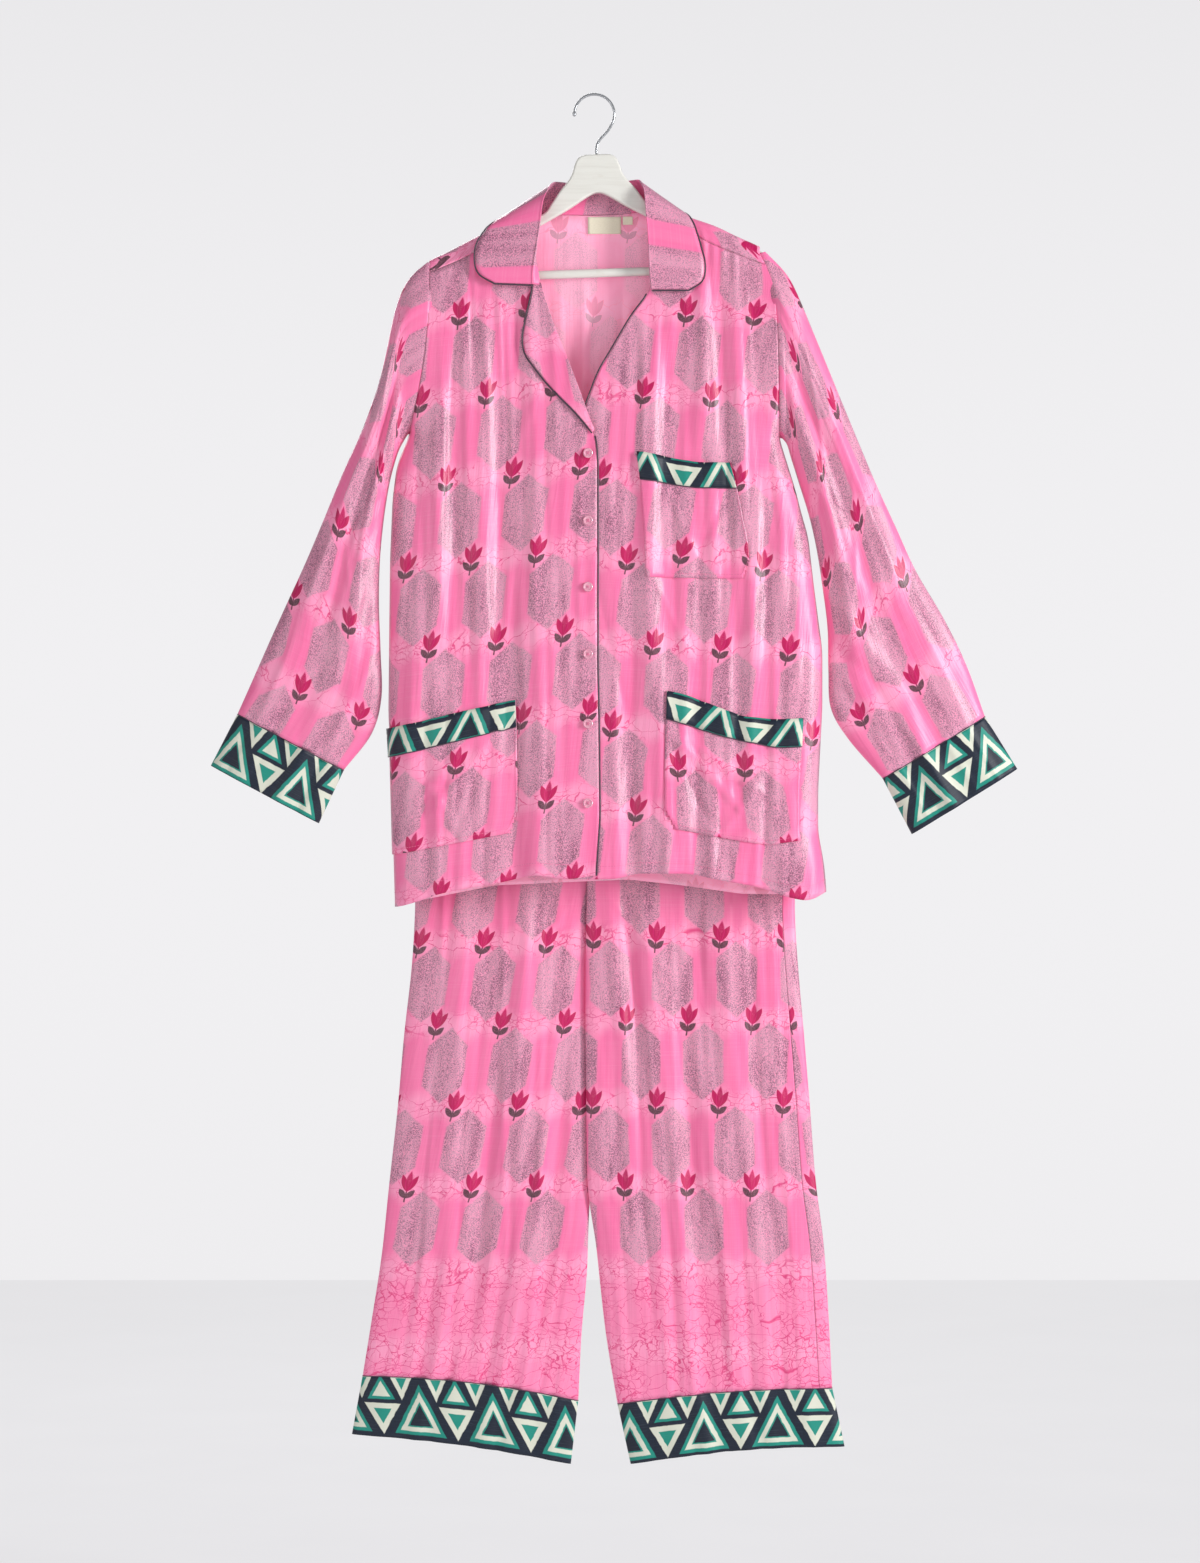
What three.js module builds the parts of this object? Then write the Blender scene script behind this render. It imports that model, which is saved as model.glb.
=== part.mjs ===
// Pyjama set on a hanger: a long-sleeved top with a notched collar, and the trousers behind it.
// Millimetres, +Z up, the front faces -Y, and left and right are the viewer's. The origin is the
// inner top of the hook's bend, where a rail carries the hanger.

import * as THREE from 'three';

// Cloth
const CLOTH = 1.5;
const SEAM_GAP = 0.3;
const HALF_GAP = SEAM_GAP / 2 + 0.05;
const CROSS_GAP = 0.8;
const SLEEVE_GAP = { left: 2.3, right: 4 };
const LAYER = CLOTH + SEAM_GAP;
const PIPE_RADIUS = 1;
const PIPE_STEP = PIPE_RADIUS + SEAM_GAP + 0.1;
const PIPE_SIDES = 6;

// Hanger, drawn level and then tilted about the hook
const HANGER_TILT = THREE.MathUtils.degToRad(2);
const HANGER_THICK = 12;
const HANGER_BEVEL = 1.5;
const HOOK_RADIUS = 24;
const HOOK_WIRE = 1.65;
const HOOK_BALL = 2.6;
const HOOK_SIDES = 8;
const HOOK_CENTRE_Z = -HOOK_RADIUS + HOOK_WIRE;
const PLATE_TOP = -71;
const BAR_RADIUS = 5.25;
const BAR_Z = -213;
const BAR_HALF = 177.6;
const BAR_SIDES = 12;

// Buttons, down the edge of the front that laps over
const BUTTON = { radius: 6, thick: 2.4, hole: 0.8, spread: 1.7, x: -7.8 };
const BUTTON_HEIGHTS = [-431, -511.6, -590.8, -671, -754, -848.8];

// How far the edge of the front that laps over stands off the one below it, and where it starts to
const LAP = { lift: 2.3, fromX: -80, toX: -42, fromZ: -330, toZ: -385 };

// The top, side view: how far its front and back stand from the plane of the seams
const TOP_DEPTH = [
  { z: -140, front: 10, back: 9.5 },
  { z: -200, front: 12, back: 10.5 },
  { z: -300, front: 19, back: 14 },
  { z: -420, front: 24, back: 16 },
  { z: -660, front: 27, back: 17 },
  { z: -980, front: 30, back: 18 },
];
const SIDE_ROUND = 42;
const SHOULDER_ROUND = 9;
const ARMHOLE_DEPTH = 21;

// The top, front view: the left and right ends, which are armhole seams above the underarm
const UNDERARM = { left: -405, right: -410 };
const TOP_LEFT = [
  { z: -195, x: -198 },
  { z: -212, x: -197 },
  { z: -274, x: -199 },
  { z: -315, x: -203 },
  { z: -355, x: -210 },
  { z: -405, x: -221 },
  { z: -445, x: -237 },
  { z: -485, x: -242 },
  { z: -557, x: -245 },
  { z: -743, x: -247 },
  { z: -792, x: -244 },
  { z: -905, x: -241 },
  { z: -974, x: -239 },
];
const TOP_RIGHT = [
  { z: -180, x: 198 },
  { z: -203, x: 204 },
  { z: -227, x: 214 },
  { z: -270, x: 218 },
  { z: -329, x: 220 },
  { z: -410, x: 221 },
  { z: -426, x: 226 },
  { z: -474, x: 241 },
  { z: -502, x: 248 },
  { z: -529, x: 256 },
  { z: -590, x: 263 },
  { z: -665, x: 273 },
  { z: -735, x: 273 },
  { z: -833, x: 268 },
  { z: -884, x: 268 },
  { z: -921, x: 275 },
  { z: -953, x: 278 },
];
// The fold over the shoulders, by x
const SHOULDER_LINE = [
  [-206, -202], [-198, -198], [-167, -183], [-125, -161], [-78, -138],
  [72, -130], [114, -146], [147, -157], [166, -167], [196, -180], [210, -187],
];
// The seam that joins the back to the fronts, a little down the front of the shoulder
const SEAM_LEFT = [[-197, -214], [-152, -195], [-127, -179], [-80, -152]];
const SEAM_RIGHT = [[74, -149], [127, -173], [145, -182], [204, -205]];
const NECK_HALF = { left: -72, right: 67 };
const NECK_EDGE = { left: -80, right: 74 };
const BACK_NECK = [[-72, -141], [-40, -142], [0, -142.5], [38, -141], [67, -136]];

// Front edges: the neckline, the opening's slope and the straight edge
const EDGE_LEFT = [
  { z: -152, x: -80 },
  { z: -190, x: -71 },
  { z: -237, x: -63 },
  { z: -291, x: -45 },
  { z: -344, x: -24 },
  { z: -376, x: -14 },
  { z: -411, x: 0.5 },
  { z: -440, x: 3 },
  { z: -540, x: 3 },
  { z: -683, x: 3 },
  { z: -756, x: 4.5 },
  { z: -867, x: 5.5 },
  { z: -934, x: 1 },
];
const EDGE_RIGHT = [
  { z: -149, x: 74 },
  { z: -190, x: 70 },
  { z: -240, x: 66 },
  { z: -246, x: 60 },
  { z: -265, x: 45 },
  { z: -303, x: 23 },
  { z: -333, x: 5 },
  { z: -376, x: -11 },
  { z: -411, x: -24 },
  { z: -940, x: -25 },
];

// Guides across a panel from its left end to its right end, with the steps down to the next one.
// The pockets and their bands fill whole steps between two guides and two of the columns.
const GUIDES_LEFT = [
  { steps: 2, line: SEAM_LEFT },
  { steps: 3, line: [[-194, -245], [-63, -237]] },
  { steps: 1, line: [[-213, -376], [-14, -376]] },
  { steps: 3, line: [[-221, -405], [1, -411]] },
  { steps: 3, line: [[-245, -560], [3, -555]] },
  { steps: 1, line: [[-246, -760], [-99, -726], [4, -718]] },
  { steps: 3, line: [[-244, -794], [-90, -757], [5, -748]] },
  { steps: 2, line: [[-241, -911], [-98, -884], [6, -872]] },
  { steps: 0, line: [
    [-239, -974], [-216, -968], [-185, -957], [-154, -951], [-113, -944], [-96, -940],
    [-72, -934], [-51, -938], [-30, -940], [1, -935]] },
];
const GUIDES_RIGHT = [
  { steps: 2, line: SEAM_RIGHT },
  { steps: 4, line: [[66, -240], [214, -245]] },
  { steps: 1, line: [[-11, -376], [220, -376]] },
  { steps: 1, line: [[-24, -418], [61, -430], [89, -436], [124, -442], [175, -442], [230, -436]] },
  { steps: 3, line: [[-24, -450], [57, -462], [118, -472], [179, -473], [241, -468]] },
  { steps: 3, line: [[-25, -570], [62, -579], [173, -581], [262, -575]] },
  { steps: 1, line: [[-25, -705], [97, -716], [134, -729], [175, -745], [217, -749], [272, -746]] },
  { steps: 3, line: [[-25, -735], [86, -748], [155, -770], [217, -783], [270, -780]] },
  { steps: 2, line: [[-25, -870], [99, -880], [159, -892], [206, -899], [268, -890]] },
  { steps: 0, line: [
    [-25, -940], [0, -940], [31, -939], [47, -933], [113, -933], [155, -942], [192, -948],
    [237, -963], [260, -966], [278, -953]] },
];
const GUIDES_BACK = [
  { steps: 3, line: [
    [-239, -972], [-120, -948], [43, -941], [105, -948], [175, -958], [210, -959], [278, -955]] },
  { steps: 4, line: [[-244, -800], [270, -800]] },
  { steps: 3, line: [[-246, -600], [265, -600]] },
  { steps: 4, line: [[-221, -405], [221, -410]] },
  { steps: 2, line: [[-195, -240], [216, -235]] },
];
const COLUMNS_LEFT = [0, 0.025, 0.07, 0.13, 0.21, 0.29, 0.37, 0.45, 0.53, 0.61, 0.68, 0.76, 0.84, 0.92, 1];
const COLUMNS_RIGHT = [0, 0.08, 0.16, 0.23, 0.3, 0.37, 0.46, 0.55, 0.64, 0.74, 0.83, 0.92, 0.97, 1];
const BACK_SHOULDER_COLUMNS = [0, 0.09, 0.24, 0.42, 0.62, 0.82, 1];
const BACK_NECK_STEPS = 10;
const SHOULDER_TURNS = [-90, -45, 0, 45, 90];

// Pockets, by the guide that their band starts at and the columns they lie between
const POCKETS = [
  { name: 'pocket_chest', side: 'right', guide: 3, from: 0.3, to: 0.74, corner: 'end' },
  { name: 'pocket_lower_right', side: 'right', guide: 6, from: 0.37, to: 0.92, corner: 'start' },
  { name: 'pocket_lower_left', side: 'left', guide: 5, from: 0, to: 0.61, corner: 'end' },
];

// Folds: a ridge where high is above zero, a trough where it is below. On the top x and drop are
// millimetres right of and below the origin, and drop runs from the fold's head to its foot.
const FRONT_FOLDS = [
  { head: [-178, 215], foot: [-205, 800], wide: 15, high: 6 },
  { head: [-136, 200], foot: [-128, 700], wide: 13, high: 5 },
  { head: [-108, 240], foot: [-98, 1100], wide: 15, high: -6 },
  { head: [-70, 420], foot: [-72, 1100], wide: 17, high: 5 },
  { head: [-168, 690], foot: [-162, 1050], wide: 16, high: 4 },
  { head: [72, 250], foot: [66, 760], wide: 12, high: 5 },
  { head: [96, 260], foot: [88, 640], wide: 12, high: -4 },
  { head: [127, 190], foot: [128, 440], wide: 13, high: 4 },
  { head: [160, 200], foot: [205, 760], wide: 17, high: 4 },
  { head: [40, 640], foot: [58, 1100], wide: 15, high: -4 },
  { head: [90, 640], foot: [74, 1100], wide: 15, high: 5 },
  { head: [150, 900], foot: [135, 1050], wide: 18, high: 4 },
  { head: [205, 900], foot: [210, 1050], wide: 18, high: -3 },
];
const BACK_FOLDS = [
  { head: [-150, 240], foot: [-175, 1100], wide: 22, high: 4 },
  { head: [-85, 200], foot: [-95, 900], wide: 22, high: -3 },
  { head: [-20, 330], foot: [-35, 1100], wide: 24, high: 3.5 },
  { head: [55, 230], foot: [62, 1000], wide: 20, high: -3 },
  { head: [120, 210], foot: [130, 1100], wide: 24, high: 4 },
  { head: [185, 300], foot: [215, 1100], wide: 20, high: 3 },
];

// Sleeves: rings from the armhole to the cuff, by their outer and inner ends and half depth
const SLEEVE_LEFT = [
  { outer: [-222, -220], inner: [-229, -414], depth: 22 },
  { outer: [-238, -255], inner: [-236, -428], depth: 23 },
  { outer: [-256, -336], inner: [-244, -455], depth: 23 },
  { outer: [-278, -400], inner: [-249, -480], depth: 23 },
  { outer: [-302, -454], inner: [-254, -515], depth: 22 },
  { outer: [-325, -510], inner: [-258, -560], depth: 22 },
  { outer: [-347, -562], inner: [-259, -612], depth: 22 },
  { outer: [-369, -610], inner: [-257, -668], depth: 22 },
  { outer: [-389, -654], inner: [-256, -722], depth: 22 },
  { outer: [-411, -704], inner: [-268, -766], depth: 22 },
  { outer: [-428, -742], inner: [-301, -809], depth: 21 },
];
const SLEEVE_RIGHT = [
  { outer: [228, -212], inner: [231.5, -419], depth: 22 },
  { outer: [242, -236], inner: [236, -434], depth: 23 },
  { outer: [265, -291], inner: [246, -466], depth: 23 },
  { outer: [290, -352], inner: [258, -505], depth: 23 },
  { outer: [318, -420], inner: [267, -545], depth: 22 },
  { outer: [340, -472], inner: [274, -590], depth: 22 },
  { outer: [362, -520], inner: [280, -640], depth: 22 },
  { outer: [385, -570], inner: [281, -690], depth: 22 },
  { outer: [420, -630], inner: [284, -735], depth: 22 },
  { outer: [446, -684], inner: [305, -772], depth: 22 },
  { outer: [468, -745], inner: [346, -819], depth: 21 },
];
const SLEEVE_AROUND = 18;
const CUFFS = {
  left: { outer: [-460, -804], inner: [-331, -873], depth: 22 },
  right: { outer: [507, -808], inner: [381, -886], depth: 22 },
};
// On a tube a fold is placed by its share of the way from the outer to the inner end, and by its
// share of the way down. Those in back lie on the far side.
const SLEEVE_FOLDS = [
  { head: [0.22, -0.1], foot: [0.2, 0.8], wide: 0.07, high: 4 },
  { head: [0.5, 0.02], foot: [0.45, 1.1], wide: 0.09, high: -5 },
  { head: [0.72, 0.1], foot: [0.7, 0.9], wide: 0.08, high: 4 },
];
const SLEEVE_BACK_FOLDS = [
  { head: [0.3, 0.0], foot: [0.32, 0.9], wide: 0.09, high: 4 },
  { head: [0.62, 0.1], foot: [0.58, 1.1], wide: 0.09, high: -4 },
];

// Trousers, which hang behind the top: rings of each leg. open is how far the ring is still one
// half of the hips, joined at the centre seam, and bow lifts the middle of a ring.
const TROUSER_Y = 39.2;
const LEG_LEFT = [
  { outer: [-152, -626], inner: [-6.4, -626], depth: 13, open: 1, bow: 0 },
  { outer: [-180, -710], inner: [-6.4, -710], depth: 15, open: 1, bow: 0 },
  { outer: [-200, -800], inner: [-6.4, -800], depth: 16, open: 1, bow: 0 },
  { outer: [-212, -880], inner: [-6.4, -880], depth: 16, open: 1, bow: 0 },
  { outer: [-216, -935], inner: [-7.2, -935], depth: 16, open: 0.6, bow: 0 },
  { outer: [-217, -985], inner: [-11, -985], depth: 15, open: 0.1, bow: 0 },
  { outer: [-221, -1050], inner: [-12, -1050], depth: 15, open: 0, bow: 0 },
  { outer: [-230, -1130], inner: [-12, -1132], depth: 15, open: 0, bow: 0 },
  { outer: [-238, -1220], inner: [-11, -1225], depth: 15, open: 0, bow: 0 },
  { outer: [-248, -1310], inner: [-9, -1320], depth: 15, open: 0, bow: 2 },
  { outer: [-257, -1395], inner: [-9, -1405], depth: 15, open: 0, bow: 4 },
  { outer: [-269, -1473], inner: [-16, -1490], depth: 15, open: 0, bow: 6 },
  { outer: [-280, -1541], inner: [-20, -1571], depth: 15, open: 0, bow: 8 },
];
const LEG_RIGHT = [
  { outer: [178, -626], inner: [-5.6, -626], depth: 13, open: 1, bow: 0 },
  { outer: [206, -710], inner: [-5.6, -710], depth: 15, open: 1, bow: 0 },
  { outer: [226, -800], inner: [-5.6, -800], depth: 16, open: 1, bow: 0 },
  { outer: [238, -880], inner: [-5.6, -880], depth: 16, open: 1, bow: 0 },
  { outer: [242, -935], inner: [-4.8, -935], depth: 16, open: 0.6, bow: 0 },
  { outer: [242, -985], inner: [-6, -985], depth: 15, open: 0.1, bow: 0 },
  { outer: [246, -1050], inner: [-7, -1050], depth: 15, open: 0, bow: 0 },
  { outer: [253, -1130], inner: [-7, -1132], depth: 15, open: 0, bow: 0 },
  { outer: [260, -1215], inner: [-6, -1225], depth: 15, open: 0, bow: 0 },
  { outer: [267, -1305], inner: [-4, -1320], depth: 15, open: 0, bow: 2 },
  { outer: [277, -1385], inner: [4, -1400], depth: 15, open: 0, bow: 4 },
  { outer: [283, -1475], inner: [14, -1490], depth: 15, open: 0, bow: 6 },
  { outer: [287, -1556], inner: [28, -1575], depth: 15, open: 0, bow: 6 },
];
const BORDERS = {
  left: { outer: [-293, -1612], inner: [-29, -1648], depth: 16, open: 0, bow: 6 },
  right: { outer: [302, -1627], inner: [44, -1648], depth: 16, open: 0, bow: 7 },
};
// The side seam of the right leg lies forward of its outline, as an angle round the ring
const SIDE_SEAM = { left: 0, right: 0.5 };
const LEG_STEPS = 9;
const WAISTBAND = { top: -590, foot: -626, depth: 12.5, around: 36, waves: 18, wave: 0.8 };
const LEG_FOLDS = {
  left: [
    { head: [0.2, -0.1], foot: [0.36, 0.95], wide: 0.07, high: 4 },
    { head: [0.42, 0.0], foot: [0.52, 1.1], wide: 0.08, high: -4 },
    { head: [0.66, 0.1], foot: [0.66, 1.0], wide: 0.08, high: 4 },
    { head: [0.85, 0.3], foot: [0.84, 1.1], wide: 0.06, high: -3 },
  ],
  right: [
    { head: [0.88, 0.25], foot: [0.84, 1.0], wide: 0.06, high: 4 },
    { head: [0.7, 0.1], foot: [0.7, 1.1], wide: 0.08, high: 4 },
    { head: [0.52, 0.05], foot: [0.55, 1.1], wide: 0.08, high: -4 },
    { head: [0.3, 0.0], foot: [0.36, 0.95], wide: 0.07, high: 4 },
  ],
};
const LEG_BACK_FOLDS = {
  left: [
    { head: [0.3, -0.1], foot: [0.36, 1.1], wide: 0.09, high: 4 },
    { head: [0.62, 0.1], foot: [0.58, 1.0], wide: 0.09, high: -3 },
    { head: [0.8, 0.2], foot: [0.78, 1.1], wide: 0.08, high: 3 },
  ],
  right: [
    { head: [0.28, -0.1], foot: [0.36, 1.1], wide: 0.09, high: 4 },
    { head: [0.6, 0.1], foot: [0.56, 1.0], wide: 0.09, high: -3 },
    { head: [0.82, 0.2], foot: [0.78, 1.1], wide: 0.08, high: 3 },
  ],
};

// Collar: stations from its left front end round the back to its right front end. neck is on the
// neckline seam, roll is the top of the fold, edge is the free edge.
const COLLAR = [
  { neck: [-66, -19.5, -229], roll: [-72, -23, -229], edge: [-119, -22.5, -227] },
  { neck: [-67, -18, -215], roll: [-72, -24, -215], edge: [-137, -22.5, -216] },
  { neck: [-70, -16.5, -196], roll: [-70, -24, -196], edge: [-142, -22, -201] },
  { neck: [-74, -15, -176], roll: [-68, -23, -178], edge: [-140, -20, -181] },
  { neck: [-77, -13.5, -160], roll: [-65, -22, -154], edge: [-129, -18, -163] },
  { neck: [-77, -12, -148], roll: [-62, -19, -130], edge: [-122, -13, -155] },
  { neck: [-75.5, -6, -136.5], roll: [-55, -9, -112], edge: [-117, -5, -150] },
  { neck: [-74, 2, -133], roll: [-50, 1, -105], edge: [-114, 5, -148] },
  { neck: [-70, 9.3, -138], roll: [-43, 11, -103.5], edge: [-103, 17, -152] },
  { neck: [-50, 10.2, -141.4], roll: [-30, 17, -104], edge: [-68, 24, -164] },
  { neck: [-22, 10.2, -141.9], roll: [-12, 19, -105], edge: [-26, 26, -171] },
  { neck: [18, 10.2, -141.4], roll: [16, 19, -104.5], edge: [24, 26, -170] },
  { neck: [45, 10.2, -139.7], roll: [36, 17, -102], edge: [66, 24, -161] },
  { neck: [65, 9.3, -133], roll: [48, 11, -101], edge: [96, 17, -146] },
  { neck: [68.5, 2, -128.5], roll: [54, 1, -102], edge: [106, 5, -140] },
  { neck: [70, -6, -133], roll: [57, -9, -108], edge: [108, -5, -141] },
  { neck: [71.5, -12, -145], roll: [60, -19, -120], edge: [113, -13, -147] },
  { neck: [72, -13.5, -160], roll: [62, -22, -146], edge: [119, -18, -160] },
  { neck: [70, -15, -176], roll: [64, -23, -172], edge: [126, -20, -183] },
  { neck: [69, -16.5, -200], roll: [65, -24, -196], edge: [131, -22, -205] },
  { neck: [68, -18, -220], roll: [66, -24, -219], edge: [128, -22.5, -224] },
  { neck: [68, -20, -233.5], roll: [67.5, -23.5, -235], edge: [112, -22.5, -235] },
];
const COLLAR_ROLL = 3.4;

// The left front's turned-back lapel, from its roll to its piped edge
const LAPEL = [
  { roll: [-61, -238], edge: [-74, -236] },
  { roll: [-57, -250], edge: [-77, -251] },
  { roll: [-51, -268], edge: [-82, -273] },
  { roll: [-43, -290], edge: [-85, -294] },
  { roll: [-36, -307], edge: [-82, -312] },
  { roll: [-30, -322], edge: [-71, -328] },
  { roll: [-24, -338], edge: [-55, -348] },
  { roll: [-18, -354], edge: [-42, -362] },
  { roll: [-13, -368], edge: [-28, -376] },
  { roll: [-9, -380], edge: [-17, -388] },
  { roll: [0, -402], edge: [-2, -406] },
];
const LAPEL_STEPS = 3;
const LAPEL_STAND = 2.6;

// The maker's two woven labels, left blank, inside the back neck
const LABELS = [
  { name: 'label_main', x: [-8, 32], z: [-144.5, -165], steps: 3 },
  { name: 'label_size', x: [34, 46], z: [-144, -154], steps: 1 },
];
const LABEL_THICK = 1;
const LABEL_OFF = 0.5;

// Colours
const PINK = '#f27fae';
const BAND_NAVY = '#14233f';
const PIPING_GREY = '#4b4150';
const WOOD_WHITE = '#e8e8e2';
const CHROME = '#c9ccd1';
const BUTTON_PINK = '#f0b6c6';
const LABEL_CREAM = '#ece7dc';

const material = (color, roughness, metalness = 0) =>
  new THREE.MeshStandardMaterial({ color, roughness, metalness });
const cloth = material(PINK, 0.55);
const band = material(BAND_NAVY, 0.55);
const piping = material(PIPING_GREY, 0.5);
const wood = material(WOOD_WHITE, 0.45);
const chrome = material(CHROME, 0.2, 1);
const plastic = material(BUTTON_PINK, 0.3);
const labelCloth = material(LABEL_CREAM, 0.7);

const { lerp, clamp, smoothstep } = THREE.MathUtils;
const garment = new THREE.Group();

// Value of a column at a height, in a table whose rows run downwards
function atHeight(table, key, z) {
  const below = table.findIndex((row) => row.z <= z);
  if (below === 0) return table[0][key];
  if (below < 0) return table.at(-1)[key];
  const high = table[below - 1];
  const low = table[below];
  return lerp(low[key], high[key], (z - low.z) / (high.z - low.z));
}

// Height of a line of [x, z] points at x
function lineAt(line, x) {
  const right = line.findIndex((point) => point[0] >= x);
  if (right === 0) return line[0][1];
  if (right < 0) return line.at(-1)[1];
  const [x0, z0] = line[right - 1];
  const [x1, z1] = line[right];
  return lerp(z0, z1, (x - x0) / (x1 - x0));
}

function foldHeight(folds, across, down) {
  let height = 0;
  for (const { head, foot, wide, high } of folds) {
    const share = (down - head[1]) / (foot[1] - head[1]);
    const strength = smoothstep(share, 0, 0.2) * (1 - smoothstep(share, 0.8, 1));
    const off = (across - lerp(head[0], foot[0], share)) / wide;
    height += high * strength * Math.exp(-off * off);
  }
  return height;
}

// The closed wall of a cloth sheet, from the points of its middle surface in rows. normals says
// which way each point moves out, lift how far the whole sheet does, and cut names missing cells.
function sheetCells(rows, { wraps = false, cut = () => false } = {}) {
  const across = rows[0].length;
  const cells = [];
  for (let j = 0; j < rows.length - 1; j += 1) {
    for (let i = 0; i < (wraps ? across : across - 1); i += 1) {
      const missing = cut(j, i);
      const next = (i + 1) % across;
      const [a, b] = [j * across + i, j * across + next];
      const [c, d] = [(j + 1) * across + next, (j + 1) * across + i];
      if (missing === 'low end') cells.push([a, b, d]);
      else if (missing === 'low start') cells.push([a, b, c]);
      else if (!missing && (i + j) % 2 === 0) cells.push([a, b, c], [a, c, d]);
      else if (!missing) cells.push([a, b, d], [b, c, d]);
    }
  }
  return cells;
}

function sheetNormals(rows, cells) {
  const points = rows.flat();
  const normals = points.map(() => new THREE.Vector3());
  for (const [a, b, c] of cells) {
    const ab = points[b].clone().sub(points[a]);
    const ac = points[c].clone().sub(points[a]);
    const face = ab.cross(ac);
    for (const n of [a, b, c]) normals[n].add(face);
  }
  return normals.map((normal) => normal.normalize());
}

// At an end column that lies on a seam's plane the wall's cut edge is square to that plane
function squareEnds(rows, normals, seamY) {
  const across = rows[0].length;
  rows.forEach((row, j) => {
    for (const i of [0, across - 1]) {
      if (Math.abs(row[i].y - seamY) < CLOTH) normals[j * across + i].setY(0).normalize();
    }
  });
  return normals;
}

function wall(rows, { thickness = CLOTH, lift = 0, normals, cells, ...shape } = {}) {
  const points = rows.flat();
  const faces = cells ?? sheetCells(rows, shape);
  const outward = normals ?? sheetNormals(rows, faces);
  const numbers = new Map();
  const positions = [];
  for (const n of new Set(faces.flat())) {
    numbers.set(n, numbers.size);
    for (const side of [0.5, -0.5]) {
      const point = points[n].clone().addScaledVector(outward[n], lift + side * thickness);
      positions.push(point.x, point.y, point.z);
    }
  }
  const outer = (n) => 2 * numbers.get(n);
  const inner = (n) => 2 * numbers.get(n) + 1;
  const index = [];
  const edges = new Map();
  for (const face of faces) {
    index.push(...face.map(outer), ...face.map(inner).reverse());
    face.forEach((from, k) => edges.set(`${from},${face[(k + 1) % 3]}`, [from, face[(k + 1) % 3]]));
  }
  for (const [from, to] of edges.values()) {
    if (edges.has(`${to},${from}`)) continue;
    index.push(outer(from), inner(from), outer(to), outer(to), inner(from), inner(to));
  }
  return meshOf(positions, index);
}

function meshOf(positions, index) {
  const geometry = new THREE.BufferGeometry();
  geometry.setAttribute('position', new THREE.Float32BufferAttribute(positions, 3));
  geometry.setIndex(index);
  geometry.computeVertexNormals();
  return geometry;
}

function add(name, geometry, surface, parent = garment) {
  const mesh = new THREE.Mesh(geometry, surface);
  mesh.name = name;
  parent.add(mesh);
  return mesh;
}

// A round cord or wire along points, closed at both ends
function cord(path, radiusAt, sides) {
  const positions = [];
  const index = [];
  const side = new THREE.Vector3(0.1, 1, 0.1);
  path.forEach((point, n) => {
    const along = path[Math.min(n + 1, path.length - 1)].clone().sub(path[Math.max(n - 1, 0)]);
    along.normalize();
    side.addScaledVector(along, -side.dot(along)).normalize();
    const other = along.clone().cross(side);
    for (let k = 0; k < sides; k += 1) {
      const angle = (2 * Math.PI * k) / sides;
      const at = point.clone()
        .addScaledVector(side, radiusAt(n) * Math.cos(angle))
        .addScaledVector(other, radiusAt(n) * Math.sin(angle));
      positions.push(at.x, at.y, at.z);
    }
    if (n === 0) return;
    for (let k = 0; k < sides; k += 1) {
      const [a, b] = [(n - 1) * sides + k, (n - 1) * sides + ((k + 1) % sides)];
      index.push(a, b, b + sides, a, b + sides, a + sides);
    }
  });
  const last = (path.length - 1) * sides;
  for (let k = 1; k < sides - 1; k += 1) {
    index.push(0, k + 1, k, last, last + k, last + k + 1);
  }
  return meshOf(positions, index);
}

// Hanger: shaped plate with two arms, a bar between their ends and a wire hook
const hanger = new THREE.Group();
hanger.rotation.y = -HANGER_TILT;
garment.add(hanger);

const HANGER_HALF = [
  [25, -73], [30, -84], [43, -109], [56, -130], [68, -141], [110, -157], [150, -172],
  [190, -192], [203, -208], [204, -216], [195, -223], [178, -222], [178, -206], [150, -191],
  [100, -169], [40, -138], [12, -121],
];
const outline = new THREE.Shape([
  new THREE.Vector2(-20, PLATE_TOP),
  new THREE.Vector2(20, PLATE_TOP),
  ...HANGER_HALF.map(([x, z]) => new THREE.Vector2(x, z)),
  new THREE.Vector2(0, -117),
  ...HANGER_HALF.map(([x, z]) => new THREE.Vector2(-x, z)).reverse(),
]);
const plate = new THREE.ExtrudeGeometry(outline, {
  depth: HANGER_THICK - 2 * HANGER_BEVEL,
  bevelEnabled: true,
  bevelThickness: HANGER_BEVEL,
  bevelSize: HANGER_BEVEL,
  bevelOffset: -HANGER_BEVEL,
  bevelSegments: 1,
});
plate.translate(0, 0, HANGER_BEVEL - HANGER_THICK / 2);
plate.rotateX(Math.PI / 2);
add('hanger_body', plate, wood, hanger);

const bar = new THREE.CylinderGeometry(BAR_RADIUS, BAR_RADIUS, 2 * BAR_HALF, BAR_SIDES);
bar.rotateZ(Math.PI / 2);
bar.translate(0, 0, BAR_Z);
add('hanger_bar', bar, wood, hanger);

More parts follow.
